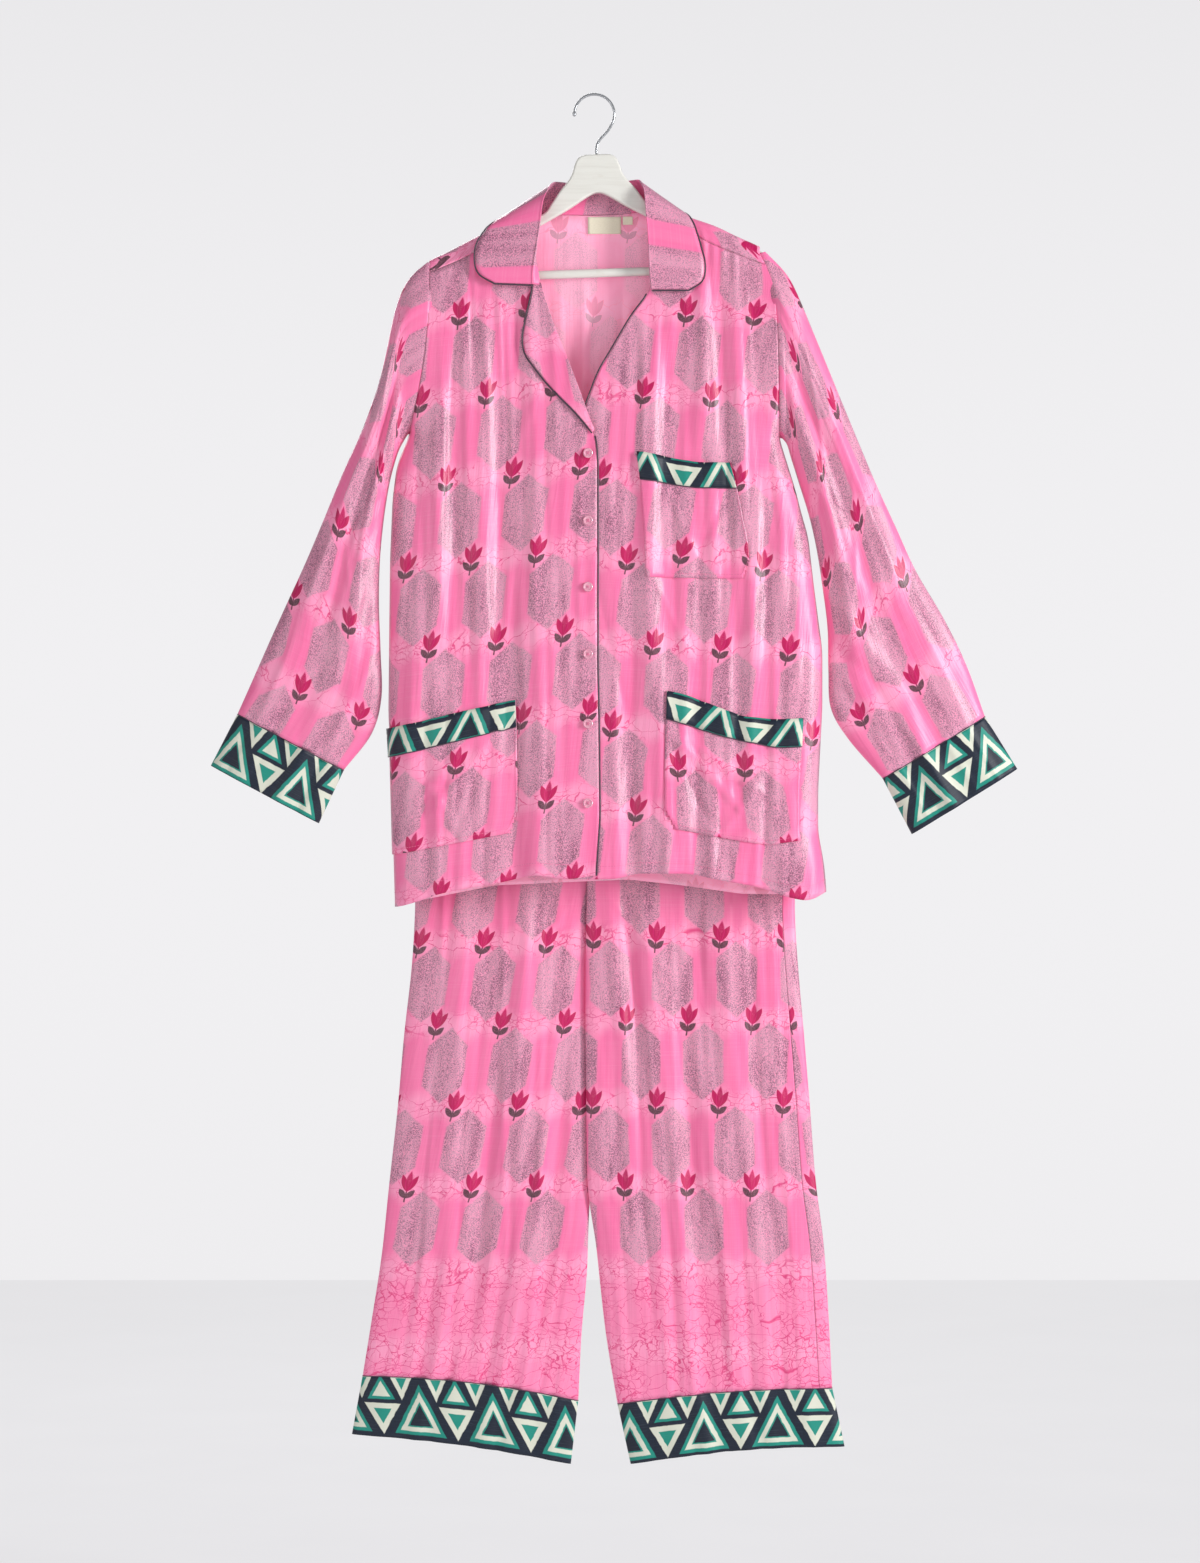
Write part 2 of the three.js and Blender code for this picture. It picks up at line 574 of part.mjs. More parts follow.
const hookPath = [];
const HOOK_ARC = { from: 184, to: -32, steps: 20 };
for (let n = 0; n <= HOOK_ARC.steps; n += 1) {
  const angle = THREE.MathUtils.degToRad(lerp(HOOK_ARC.from, HOOK_ARC.to, n / HOOK_ARC.steps));
  hookPath.push(new THREE.Vector3(
    HOOK_RADIUS * Math.cos(angle) - 1, 0, HOOK_CENTRE_Z + HOOK_RADIUS * Math.sin(angle)));
}
const HOOK_TAIL = [[15.5, -41.5], [10.5, -47], [5, -52.5], [1.5, -58], [0, -64], [0, PLATE_TOP + SEAM_GAP]];
for (const [x, z] of HOOK_TAIL) hookPath.push(new THREE.Vector3(x, 0, z));
const HOOK_TIP = [0.9, 2.1, HOOK_BALL, 2.1];
hookPath.splice(1, 0,
  ...[0.12, 0.3, 0.55].map((share) => hookPath[0].clone().lerp(hookPath[1], share)));
add('hanger_hook', cord(hookPath, (n) => HOOK_TIP[n] ?? HOOK_WIRE, HOOK_SIDES), chrome, hanger);

// The top's surfaces: how deep the front and the back stand at a place on them
function topHalfDepth(face, x, z) {
  const left = atHeight(TOP_LEFT, 'x', z);
  const right = atHeight(TOP_RIGHT, 'x', z);
  const side = x < (left + right) / 2 ? 'left' : 'right';
  const inward = clamp(Math.min(x - left, right - x) / SIDE_ROUND, 0, 1);
  const rise = Math.sqrt(1 - (1 - inward) ** 2);
  const open = Math.max(armholeDepth(side, z), HALF_GAP);
  const folds = face === 'front' ? FRONT_FOLDS : BACK_FOLDS;
  const free = smoothstep(inward, 0.1, 1);
  return lerp(open, atHeight(TOP_DEPTH, face, z), rise) + free * foldHeight(folds, x, -z);
}

// Half the width of the armhole, front to back, at a height
function armholeDepth(side, z) {
  const ends = side === 'left' ? TOP_LEFT : TOP_RIGHT;
  const spring = ends[0].z - SHOULDER_ROUND;
  if (z > spring) return Math.sqrt(Math.max(0, SHOULDER_ROUND ** 2 - (z - spring) ** 2));
  const share = (spring - z) / (spring - UNDERARM[side]);
  if (share >= 1) return 0;
  const widening = Math.sin(Math.min(1, 1.8 * share) * (Math.PI / 2));
  return lerp(SHOULDER_ROUND, ARMHOLE_DEPTH, widening) * Math.sqrt(1 - share ** 6);
}

const frontPoint = (x, z, lift = 0) => new THREE.Vector3(x, -topHalfDepth('front', x, z) - lift, z);
const backPoint = (x, z, lift = 0) => new THREE.Vector3(x, topHalfDepth('back', x, z) + lift, z);
const lapLift = (x, z) => LAP.lift * smoothstep(x, LAP.fromX, LAP.toX)
  * (1 - smoothstep(z, LAP.toZ, LAP.fromZ));
const lappingPoint = (x, z, lift = 0) => frontPoint(x, z, lift + lapLift(x, z));

// Rows of a panel: each guide gives the heights, and the two end tables give where the row ends
function panelRows(guides, columns, leftEnd, rightEnd, pointAt) {
  const rows = [];
  guides.forEach(({ steps, line }, n) => {
    const below = guides[n + 1]?.line ?? line;
    for (let k = 0; k < Math.max(steps, 1); k += 1) {
      const share = steps ? k / steps : 0;
      const height = (guide, u) => lineAt(guide, lerp(guide[0][0], guide.at(-1)[0], u));
      const z = (u) => lerp(height(line, u), height(below, u), share);
      const [from, to] = [leftEnd(z(0)), rightEnd(z(1))];
      rows.push(columns.map((u) => pointAt(lerp(from, to, u), z(u))));
    }
  });
  return rows;
}

const topEnd = (table) => (z) => atHeight(table, 'x', z);
const fronts = {
  left: {
    guides: GUIDES_LEFT,
    columns: COLUMNS_LEFT,
    rows: panelRows(GUIDES_LEFT, COLUMNS_LEFT, topEnd(TOP_LEFT), topEnd(EDGE_LEFT), lappingPoint),
  },
  right: {
    guides: GUIDES_RIGHT,
    columns: COLUMNS_RIGHT,
    rows: panelRows(GUIDES_RIGHT, COLUMNS_RIGHT, topEnd(EDGE_RIGHT), topEnd(TOP_RIGHT), frontPoint),
  },
};
for (const [side, front] of Object.entries(fronts)) {
  front.cells = sheetCells(front.rows);
  front.normals = squareEnds(front.rows, sheetNormals(front.rows, front.cells), 0);
  add(`top_front_${side}`, wall(front.rows, front), cloth);
}

// Pockets and their bands lie on the fronts' own points, moved out
for (const { name, side, guide, from, to, corner } of POCKETS) {
  const front = fronts[side];
  const across = front.columns.length;
  const firstRow = front.guides.slice(0, guide).reduce((sum, row) => sum + row.steps, 0);
  const bandFoot = firstRow + front.guides[guide].steps;
  const lastRow = bandFoot + front.guides[guide + 1].steps;
  const [start, end] = [front.columns.indexOf(from), front.columns.indexOf(to)];
  const cornerCell = corner === 'end' ? end - 1 : start;
  const piece = (top, foot, rounded) => {
    const cells = sheetCells(front.rows, {
      cut: (j, i) => {
        if (j < top || j >= foot || i < start || i >= end) return true;
        return rounded && j === foot - 1 && i === cornerCell ? `low ${corner}` : false;
      },
    });
    return cells.filter((cell) => cell.every((n) => n < (foot + 1) * across));
  };
  const outward = { normals: front.normals.map((normal) => normal.clone().negate()) };
  add(name, wall(front.rows, { ...outward, cells: reversed(piece(firstRow, lastRow, true)), lift: LAYER }), cloth);
  add(`${name}_band`, wall(front.rows, {
    ...outward, cells: reversed(piece(firstRow, bandFoot, false)), lift: 2 * LAYER }), band);
}

function reversed(cells) {
  return cells.map(([a, b, c]) => [a, c, b]);
}

// Back: up from the hem, and over each shoulder to the seam on its front
const shoulderZ = (x) => lineAt(SHOULDER_LINE, x);
const neckShare = (BACK_SHOULDER_COLUMNS.length - 1);
const backColumns = [];
for (const u of BACK_SHOULDER_COLUMNS) backColumns.push({ u, part: 'left' });
for (let n = 1; n < BACK_NECK_STEPS; n += 1) backColumns.push({ u: n / BACK_NECK_STEPS, part: 'neck' });
for (const u of BACK_SHOULDER_COLUMNS.toReversed()) backColumns.push({ u: 1 - u, part: 'right' });

// Where a column crosses a row whose ends and two neck corners are given
function columnX({ u, part }, ends) {
  if (part === 'left') return lerp(ends.left, ends.neckLeft, u);
  if (part === 'right') return lerp(ends.neckRight, ends.right, u);
  return lerp(ends.neckLeft, ends.neckRight, u);
}

const backRows = [];
GUIDES_BACK.forEach(({ steps, line }, n) => {
  const above = GUIDES_BACK[n + 1]?.line;
  for (let k = 0; k < steps; k += 1) {
    const neckline = (x) => (x > NECK_HALF.left && x < NECK_HALF.right
      ? lineAt(BACK_NECK, x) - SEAM_GAP : shoulderZ(x) - CLOTH / 2 - SHOULDER_ROUND);
    const z = (x) => lerp(lineAt(line, x), above ? lineAt(above, x) : neckline(x), k / steps);
    const ends = {
      left: atHeight(TOP_LEFT, 'x', z(-1000)),
      right: atHeight(TOP_RIGHT, 'x', z(1000)),
      neckLeft: NECK_HALF.left,
      neckRight: NECK_HALF.right,
    };
    backRows.push(backColumns.map((column) => {
      const x = columnX(column, ends);
      return backPoint(x, z(x));
    }));
  }
});
const firstShoulderRow = backRows.length;
const ARMHOLE_TOP = { left: TOP_LEFT[0].x, right: TOP_RIGHT[0].x };
for (const turn of SHOULDER_TURNS) {
  const angle = THREE.MathUtils.degToRad(turn);
  const forward = (turn + 90) / 180;
  const ends = {
    left: ARMHOLE_TOP.left,
    right: ARMHOLE_TOP.right,
    neckLeft: lerp(NECK_HALF.left, NECK_EDGE.left, forward),
    neckRight: lerp(NECK_HALF.right, NECK_EDGE.right, forward),
  };
  backRows.push(backColumns.map((column) => {
    const x = columnX(column, ends);
    if (column.part === 'neck') return backPoint(x, lineAt(BACK_NECK, x) - SEAM_GAP);
    const z = shoulderZ(x) - CLOTH / 2 - SHOULDER_ROUND * (1 - Math.cos(angle));
    return new THREE.Vector3(x, -SHOULDER_ROUND * Math.sin(angle), z);
  }));
}
backRows.push(backColumns.map((column) => {
  const ends = {
    left: SEAM_LEFT[0][0], right: SEAM_RIGHT.at(-1)[0], neckLeft: NECK_EDGE.left, neckRight: NECK_EDGE.right };
  const x = columnX(column, ends);
  const seam = x < 0 ? SEAM_LEFT : SEAM_RIGHT;
  return frontPoint(x, lineAt(seam, x) + CROSS_GAP);
}));
const neckCut = (j, i) => j >= firstShoulderRow && i >= neckShare && i < neckShare + BACK_NECK_STEPS;
const backCells = sheetCells(backRows, { cut: neckCut });
const backNormals = squareEnds(backRows, sheetNormals(backRows, backCells), 0);
add('top_back', wall(backRows, { cells: backCells, normals: backNormals }), cloth);

// A ring of a tube of cloth, by its outer and inner ends. The angle is 0 at the outer end, and
// front angles are below zero.
function ringPoint(row, angle, middleY = 0) {
  const share = (1 - Math.cos(angle)) / 2;
  const lens = Math.abs(Math.sin(angle));
  const half = Math.sqrt(1 - (1 - share) ** 2);
  const depth = row.depth * lerp(lens, half, row.open ?? 0);
  const x = lerp(row.outer[0], row.inner[0], share);
  const z = lerp(row.outer[1], row.inner[1], share) + 4 * share * (1 - share) * (row.bow ?? 0);
  return new THREE.Vector3(x, middleY + Math.sign(Math.sin(angle)) * depth, z);
}

function foldedRingPoint(row, angle, down, folds, backFolds, middleY = 0) {
  const point = ringPoint(row, angle, middleY);
  const share = (1 - Math.cos(angle)) / 2;
  const free = clamp(5 * Math.min(share, 1 - share), 0, 1);
  const height = foldHeight(angle < 0 ? folds : backFolds, share, down) * free;
  point.y += angle < 0 ? -height : height;
  return point;
}

// Sleeves: the first ring runs round the armhole, and the rest follow the table
const angles = (count) => Array.from({ length: count }, (_, n) => (2 * Math.PI * n) / count - Math.PI);

function armholePoint(side, angle) {
  const ends = side === 'left' ? TOP_LEFT : TOP_RIGHT;
  const out = side === 'left' ? -1 : 1;
  const share = (1 - Math.cos(angle)) / 2;
  const z = lerp(ends[0].z - 0.5, UNDERARM[side] - 1.5, share);
  const depth = Math.sign(Math.sin(angle)) * armholeDepth(side, z);
  return new THREE.Vector3(atHeight(ends, 'x', z) + out * SLEEVE_GAP[side], depth, z);
}

for (const [side, table] of Object.entries({ left: SLEEVE_LEFT, right: SLEEVE_RIGHT })) {
  const round = angles(SLEEVE_AROUND);
  const rows = [round.map((angle) => armholePoint(side, angle))];
  table.forEach((row, n) => {
    const down = (n + 1) / table.length;
    rows.push(round.map((angle) => foldedRingPoint(row, angle, down, SLEEVE_FOLDS, SLEEVE_BACK_FOLDS)));
  });
  add(`sleeve_${side}`, wall(rows, { wraps: true }), cloth);

  const end = table.at(-1);
  const foot = CUFFS[side];
  const cuffRow = (share) => ({
    outer: end.outer.map((value, n) => lerp(value, foot.outer[n], share)),
    inner: end.inner.map((value, n) => lerp(value, foot.inner[n], share)),
    depth: lerp(end.depth, foot.depth, share),
  });
  const start = SEAM_GAP / Math.hypot(foot.outer[0] - end.outer[0], foot.outer[1] - end.outer[1]);
  const cuffRows = [start * 1.3, 0.5, 1].map((share) =>
    round.map((angle) => foldedRingPoint(cuffRow(share), angle, 1, SLEEVE_FOLDS, SLEEVE_BACK_FOLDS)));
  add(`cuff_${side}`, wall(cuffRows, { wraps: true }), band);
}

// Trousers: four panels, a border round each leg's end and a gathered waistband
for (const [side, table] of Object.entries({ left: LEG_LEFT, right: LEG_RIGHT })) {
  const seam = SIDE_SEAM[side];
  const trim = HALF_GAP / LEG_LEFT[0].depth;
  const ranges = {
    front: [-Math.PI + trim, -seam - trim],
    back: [-seam + trim, Math.PI - trim],
  };
  for (const [face, [from, to]] of Object.entries(ranges)) {
    const rows = table.map((row, n) => {
      const down = n / (table.length - 1);
      return Array.from({ length: LEG_STEPS + 1 }, (_, k) => foldedRingPoint(
        row, lerp(from, to, k / LEG_STEPS), down, LEG_FOLDS[side], LEG_BACK_FOLDS[side], TROUSER_Y));
    });
    const normals = squareEnds(rows, sheetNormals(rows, sheetCells(rows)), TROUSER_Y);
    add(`trouser_${face}_${side}`, wall(rows, { normals }), cloth);
  }
  const end = table.at(-1);
  const foot = BORDERS[side];
  const start = (1.3 * SEAM_GAP) / (end.outer[1] - foot.outer[1]);
  const round = angles(2 * LEG_STEPS);
  const borderRows = [start * 1.4, 0.5, 1].map((share) => {
    const row = {
      outer: end.outer.map((value, n) => lerp(value, foot.outer[n], share)),
      inner: end.inner.map((value, n) => lerp(value, foot.inner[n], share)),
      depth: lerp(end.depth, foot.depth, share),
      bow: lerp(end.bow, foot.bow, share),
    };
    return round.map((angle) => foldedRingPoint(
      row, angle, 1, LEG_FOLDS[side], LEG_BACK_FOLDS[side], TROUSER_Y));
  });
  add(`trouser_border_${side}`, wall(borderRows, { wraps: true }), band);
}

const waistRow = (z) => angles(WAISTBAND.around).map((angle) => {
  const ring = { outer: [LEG_LEFT[0].outer[0], z], inner: [LEG_RIGHT[0].outer[0], z], depth: WAISTBAND.depth };
  const point = ringPoint(ring, angle, TROUSER_Y);
  point.y += WAISTBAND.wave * Math.cos(WAISTBAND.waves * angle);
  return point;
});
add('waistband', wall([WAISTBAND.top, WAISTBAND.foot + 2 * SEAM_GAP].map(waistRow), { wraps: true }), cloth);

// Collar: up from the neckline, over its roll and down to its free edge
const vector = (values) => new THREE.Vector3(...values);
const collarRows = COLLAR.map((station) => {
  const [neck, roll, edge] = [station.neck, station.roll, station.edge].map(vector);
  const outward = edge.clone().sub(roll).normalize();
  const over = roll.clone().addScaledVector(outward, COLLAR_ROLL);
  const crown = roll.clone().lerp(over, 0.5);
  const up = roll.clone().sub(neck).normalize();
  crown.addScaledVector(up, COLLAR_ROLL / 3);
  return [
    neck,
    neck.clone().lerp(roll, 0.55),
    roll,
    crown,
    over,
    over.clone().lerp(edge, 0.45),
    edge,
  ];
});
add('collar', wall(collarRows), cloth);

// Lapel of the lapping front
const lapelRows = LAPEL.map(({ roll, edge }) => Array.from({ length: LAPEL_STEPS + 1 }, (_, k) => {
  const share = k / LAPEL_STEPS;
  const [x, z] = [lerp(roll[0], edge[0], share), lerp(roll[1], edge[1], share)];
  const stand = lerp(LAYER + 0.2, LAPEL_STAND, Math.min(1, 2 * share));
  return lappingPoint(x, z, stand);
}));
add('lapel', wall(lapelRows), cloth);

// Piping, laid against the free edges. Each edge point moves away from the point inside it,
// square to the edge.
const beyond = (rows, edge, inside) => rows.map((row, n) => {
  const before = rows[Math.max(n - 1, 0)].at(edge);
  const after = rows[Math.min(n + 1, rows.length - 1)].at(edge);
  const along = after.clone().sub(before).normalize();
  const away = row.at(edge).clone().sub(row.at(inside));
  away.addScaledVector(along, -away.dot(along)).normalize();
  return row.at(edge).clone().addScaledVector(away, PIPE_STEP);
});
const pipe = (name, path) => add(name, cord(path, () => PIPE_RADIUS, PIPE_SIDES), piping);
const collarEnd = (row) => [4, 5].map((n) => row[n].clone().setZ(row[n].z - PIPE_STEP));
pipe('piping_collar', [
  ...collarEnd(collarRows[0]),
  ...beyond(collarRows, -1, -2),
  ...collarEnd(collarRows.at(-1)).reverse(),
]);

const straightStart = fronts.left.guides.slice(0, 3).reduce((sum, row) => sum + row.steps, 0);
const lapelPipe = beyond(lapelRows, -1, -2);
pipe('piping_lapel', lapelPipe);
pipe('piping_front', beyond(fronts.left.rows.slice(straightStart), -1, -2));
const slopeStart = GUIDES_RIGHT[0].steps;
const slopeEnd = slopeStart + GUIDES_RIGHT[1].steps;
pipe('piping_slope', beyond(fronts.right.rows.slice(slopeStart, slopeEnd + 1), 0, 1));

// Buttons: a disc with four holes, its back a seam's gap off the cloth
const disc = new THREE.Shape();
disc.absarc(0, 0, BUTTON.radius, 0, 2 * Math.PI);
for (const [across, up] of [[1, 1], [-1, 1], [-1, -1], [1, -1]]) {
  const hole = new THREE.Path();
  hole.absarc(across * BUTTON.spread, up * BUTTON.spread, BUTTON.hole, 0, 2 * Math.PI);
  disc.holes.push(hole);
}
BUTTON_HEIGHTS.forEach((z, n) => {
  const solid = new THREE.ExtrudeGeometry(disc, { depth: BUTTON.thick, bevelEnabled: false, curveSegments: 5 });
  solid.rotateX(Math.PI / 2);
  const off = CLOTH / 2 + SEAM_GAP + 0.3;
  add(`button_${n + 1}`, solid, plastic).position.copy(lappingPoint(BUTTON.x, z, off));
});

// Labels inside the back neck
for (const { name, x, z, steps } of LABELS) {
  const off = CLOTH / 2 + LABEL_OFF + LABEL_THICK / 2;
  const rows = [0, 1].map((down) => Array.from({ length: steps + 1 }, (_, k) =>
    backPoint(lerp(x[0], x[1], k / steps), lerp(z[0], z[1], down), -off)));
  add(name, wall(rows, { thickness: LABEL_THICK }), labelCloth);
}

export default garment;
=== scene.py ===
"""Pyjama set on a hanger: a long-sleeved top with a notched collar, and the trousers behind it.

Garment sizes are millimetres: x to the viewer's right, z up, and the front faces -y. Meshes are in
metres. Folds, seams and prints are laid out by the tables and formulas below.
"""

import math

import bpy
import numpy as np
from mathutils import Matrix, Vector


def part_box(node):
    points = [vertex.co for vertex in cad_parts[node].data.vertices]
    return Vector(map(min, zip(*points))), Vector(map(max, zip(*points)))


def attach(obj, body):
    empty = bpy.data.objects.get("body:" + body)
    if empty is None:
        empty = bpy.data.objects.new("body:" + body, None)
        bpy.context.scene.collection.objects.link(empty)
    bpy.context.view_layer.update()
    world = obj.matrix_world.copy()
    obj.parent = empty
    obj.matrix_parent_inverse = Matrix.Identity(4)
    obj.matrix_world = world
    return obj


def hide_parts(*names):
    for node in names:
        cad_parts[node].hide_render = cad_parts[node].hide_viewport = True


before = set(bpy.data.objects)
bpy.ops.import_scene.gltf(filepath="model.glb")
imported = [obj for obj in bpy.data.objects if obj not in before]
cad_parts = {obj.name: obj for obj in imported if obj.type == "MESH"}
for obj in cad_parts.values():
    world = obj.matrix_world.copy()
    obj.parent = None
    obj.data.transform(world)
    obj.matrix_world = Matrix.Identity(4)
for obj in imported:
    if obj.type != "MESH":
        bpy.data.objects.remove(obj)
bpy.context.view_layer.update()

# Cloth
MM = 0.001
CLOTH = 0.8
LAYER = 1.8
HALF_GAP = 0.2
ACROSS_STEP = 2.6
DOWN_STEP = 5.5
SWAY = 0.3

# The top: its seams' plane is y = 0
SIDE_ROUND = 42
SHOULDER_ROUND = 9
ARMHOLE_DEPTH = 21
UNDERARM = {"left": -405, "right": -410}
SLEEVE_GAP = {"left": 2.3, "right": 4}
TOP_DEPTH = {
    "front": [(-140, 10), (-200, 12), (-300, 19), (-420, 24), (-660, 27), (-980, 30)],
    "back": [(-140, 9.5), (-200, 10.5), (-300, 14), (-420, 16), (-660, 17), (-980, 18)],
}
# Ends of the top at each height, as (z, x), which are armhole seams above the underarm
TOP_END = {
    "left": [
        (-195, -198), (-212, -197), (-274, -199), (-315, -203), (-355, -210), (-405, -221), (-445, -237),
        (-485, -242), (-557, -245), (-743, -247), (-792, -244), (-905, -241), (-974, -239),
    ],
    "right": [
        (-180, 198), (-203, 204), (-227, 214), (-270, 218), (-329, 220), (-410, 221), (-426, 226),
        (-474, 241), (-502, 248), (-529, 256), (-590, 263), (-665, 273), (-735, 273), (-833, 268),
        (-884, 268), (-921, 275), (-953, 278),
    ],
}
# The fold over the shoulders and the seams a little in front of it, as (x, z)
SHOULDER_LINE = [
    (-206, -202), (-198, -198), (-167, -183), (-125, -161), (-78, -138),
    (72, -130), (114, -146), (147, -157), (166, -167), (196, -180), (210, -187),
]
SEAM_LEFT = [(-197, -214), (-152, -195), (-127, -179), (-80, -152)]
SEAM_RIGHT = [(74, -149), (127, -173), (145, -182), (204, -205)]
NECK_HALF = (-72, 67)
NECK_EDGE = (-80, 74)
BACK_NECK = [(-72, -141), (-40, -142), (0, -142.5), (38, -141), (67, -136)]

# Front edges as (z, x): the neckline, the opening's slope and the straight edge
EDGE_LEFT = [
    (-152, -80), (-190, -71), (-237, -63), (-291, -45), (-344, -24), (-376, -14), (-411, 0.5),
    (-440, 3), (-540, 3), (-683, 3), (-756, 4.5), (-867, 5.5), (-934, 1),
]
EDGE_RIGHT = [
    (-149, 74), (-190, 70), (-240, 66), (-246, 60), (-265, 45), (-303, 23), (-333, 5), (-376, -11),
    (-411, -24), (-940, -25),
]
# Lines across each panel, from its left end to its right end, as (x, z)
GUIDES_LEFT = [
    SEAM_LEFT,
    [(-194, -245), (-63, -237)],
    [(-213, -376), (-14, -376)],
    [(-221, -405), (1, -411)],
    [(-245, -560), (3, -555)],
    [(-246, -760), (-99, -726), (4, -718)],
    [(-244, -794), (-90, -757), (5, -748)],
    [(-241, -911), (-98, -884), (6, -872)],
    [(-239, -974), (-216, -968), (-185, -957), (-154, -951), (-113, -944), (-96, -940),
     (-72, -934), (-51, -938), (-30, -940), (1, -935)],
]
GUIDES_RIGHT = [
    SEAM_RIGHT,
    [(66, -240), (214, -245)],
    [(-11, -376), (220, -376)],
    [(-24, -418), (61, -430), (89, -436), (124, -442), (175, -442), (230, -436)],
    [(-24, -450), (57, -462), (118, -472), (179, -473), (241, -468)],
    [(-25, -570), (62, -579), (173, -581), (262, -575)],
    [(-25, -705), (97, -716), (134, -729), (175, -745), (217, -749), (272, -746)],
    [(-25, -735), (86, -748), (155, -770), (217, -783), (270, -780)],
    [(-25, -870), (99, -880), (159, -892), (206, -899), (268, -890)],
    [(-25, -940), (0, -940), (31, -939), (47, -933), (113, -933), (155, -942), (192, -948),
     (237, -963), (260, -966), (278, -953)],
]
GUIDES_BACK = [
    [(-239, -972), (-120, -948), (43, -941), (105, -948), (175, -958), (210, -959), (278, -955)],
    [(-244, -800), (270, -800)],
    [(-246, -600), (265, -600)],
    [(-221, -405), (221, -410)],
    [(-195, -240), (216, -235)],
]
FRONTS = {
    "left": {"guides": GUIDES_LEFT, "from": TOP_END["left"], "to": EDGE_LEFT},
    "right": {"guides": GUIDES_RIGHT, "from": EDGE_RIGHT, "to": TOP_END["right"]},
}
# Pockets, by the guide that their band starts at, their share of the way across and the place of
# the band's print
POCKETS = [
    {"name": "pocket_chest", "side": "right", "guide": 3, "from": 0.3, "to": 0.74, "corner": "to",
     "shift": 14},
    {"name": "pocket_lower_right", "side": "right", "guide": 6, "from": 0.37, "to": 0.92, "corner": "from",
     "shift": -15},
    {"name": "pocket_lower_left", "side": "left", "guide": 5, "from": 0, "to": 0.61, "corner": "to",
     "shift": 34},
]
# How far the edge of the front that laps over stands off, and where it starts to
LAP_LIFT = 2.3
LAP_ACROSS = (-80, -42)
LAP_DOWN = (-385, -330)

# Folds run from a head to a foot. Each row is head x, head drop, foot x, foot drop, width, height:
# x and drop are millimetres right of and below the hook, and a trough has a height below zero.
FRONT_FOLDS = [
    (-178, 215, -205, 800, 15, 6), (-136, 200, -128, 700, 13, 5), (-108, 240, -98, 1100, 15, -6),
    (-70, 420, -72, 1100, 17, 5), (-168, 690, -162, 1050, 16, 4), (72, 250, 66, 760, 12, 5),
    (96, 260, 88, 640, 12, -4), (127, 190, 128, 440, 13, 4), (160, 200, 205, 760, 17, 4),
    (40, 640, 58, 1100, 15, -4), (90, 640, 74, 1100, 15, 5), (150, 900, 135, 1050, 18, 4),
    (205, 900, 210, 1050, 18, -3),
]
FRONT_CREASES = [
    (-209, 330, -226, 700, 7, -2.2), (-167, 240, -176, 560, 6, -2.0), (-150, 205, -150, 420, 5, 1.6),
    (-113, 200, -112, 520, 5, 1.8), (-59, 430, -54, 1010, 6, -1.8), (-23, 440, -20, 720, 6, -1.2),
    (-90, 520, -118, 700, 5, 1.4), (-60, 330, -90, 420, 5, 1.3), (-190, 820, -182, 1010, 6, 1.8),
    (-128, 800, -134, 1010, 6, -1.8), (-40, 800, -36, 1010, 5, 1.5), (56, 262, 60, 470, 4, 1.8),
    (80, 250, 76, 430, 4, -1.6), (112, 200, 110, 330, 4, 1.4), (140, 205, 150, 430, 6, -1.6),
    (178, 215, 196, 400, 6, 1.6), (196, 300, 222, 560, 7, -1.8), (20, 420, 26, 700, 6, 1.3),
    (235, 480, 246, 740, 6, 1.6), (205, 480, 190, 690, 6, -1.6), (30, 800, 24, 1010, 6, 1.6),
    (110, 660, 102, 740, 5, -1.4), (235, 820, 236, 1010, 6, 2.0), (60, 560, 130, 700, 6, 1.3),
    (0, 560, 40, 760, 6, -1.2), (230, 560, 150, 700, 7, 1.2),
]
# Drag lines across the lower pockets and the cloth beside them
POCKET_CREASES = [
    (76, 752, 190, 870, 9, 3.4), (84, 770, 150, 890, 8, -2.4), (110, 770, 215, 850, 8, 3.0),
    (215, 790, 150, 890, 9, 2.4), (-104, 742, -205, 880, 9, 3.4), (-118, 760, -170, 900, 8, -2.4),
    (-150, 780, -225, 860, 8, 2.8), (-220, 800, -150, 900, 9, 2.2), (84, 470, 130, 570, 7, 1.8),
    (160, 478, 120, 560, 7, -1.6),
]
BACK_FOLDS = [
    (-150, 240, -175, 1100, 22, 4), (-85, 200, -95, 900, 22, -3), (-20, 330, -35, 1100, 24, 3.5),
    (55, 230, 62, 1000, 20, -3), (120, 210, 130, 1100, 24, 4), (185, 300, 215, 1100, 20, 3),
]
BACK_CREASES = [
    (-190, 300, -214, 640, 7, -1.8), (-120, 200, -124, 460, 6, 1.8), (-55, 210, -60, 520, 7, 1.6),
    (-12, 190, -14, 420, 6, -1.4), (30, 200, 36, 560, 7, 1.6), (88, 195, 92, 470, 6, -1.6),
    (150, 220, 166, 500, 6, 1.8), (205, 380, 236, 720, 7, -1.8), (-140, 560, -132, 1010, 8, -1.8),
    (-70, 600, -64, 1010, 8, 1.8), (10, 560, 14, 1010, 8, -1.8), (90, 620, 98, 1010, 8, 1.8),
    (160, 560, 176, 1010, 8, -1.6), (-214, 700, -206, 1010, 7, 1.6), (236, 760, 240, 1010, 7, 1.6),
]
# Fine folds all over: width, sway and its length down the cloth, and height
RIPPLES = [(41, 9, 150, 2.0), (27, 6, 95, 1.3), (17.5, 4, 70, 0.6)]
RIPPLE_FROM = (-290, -190)
TUBE_LONG = 900
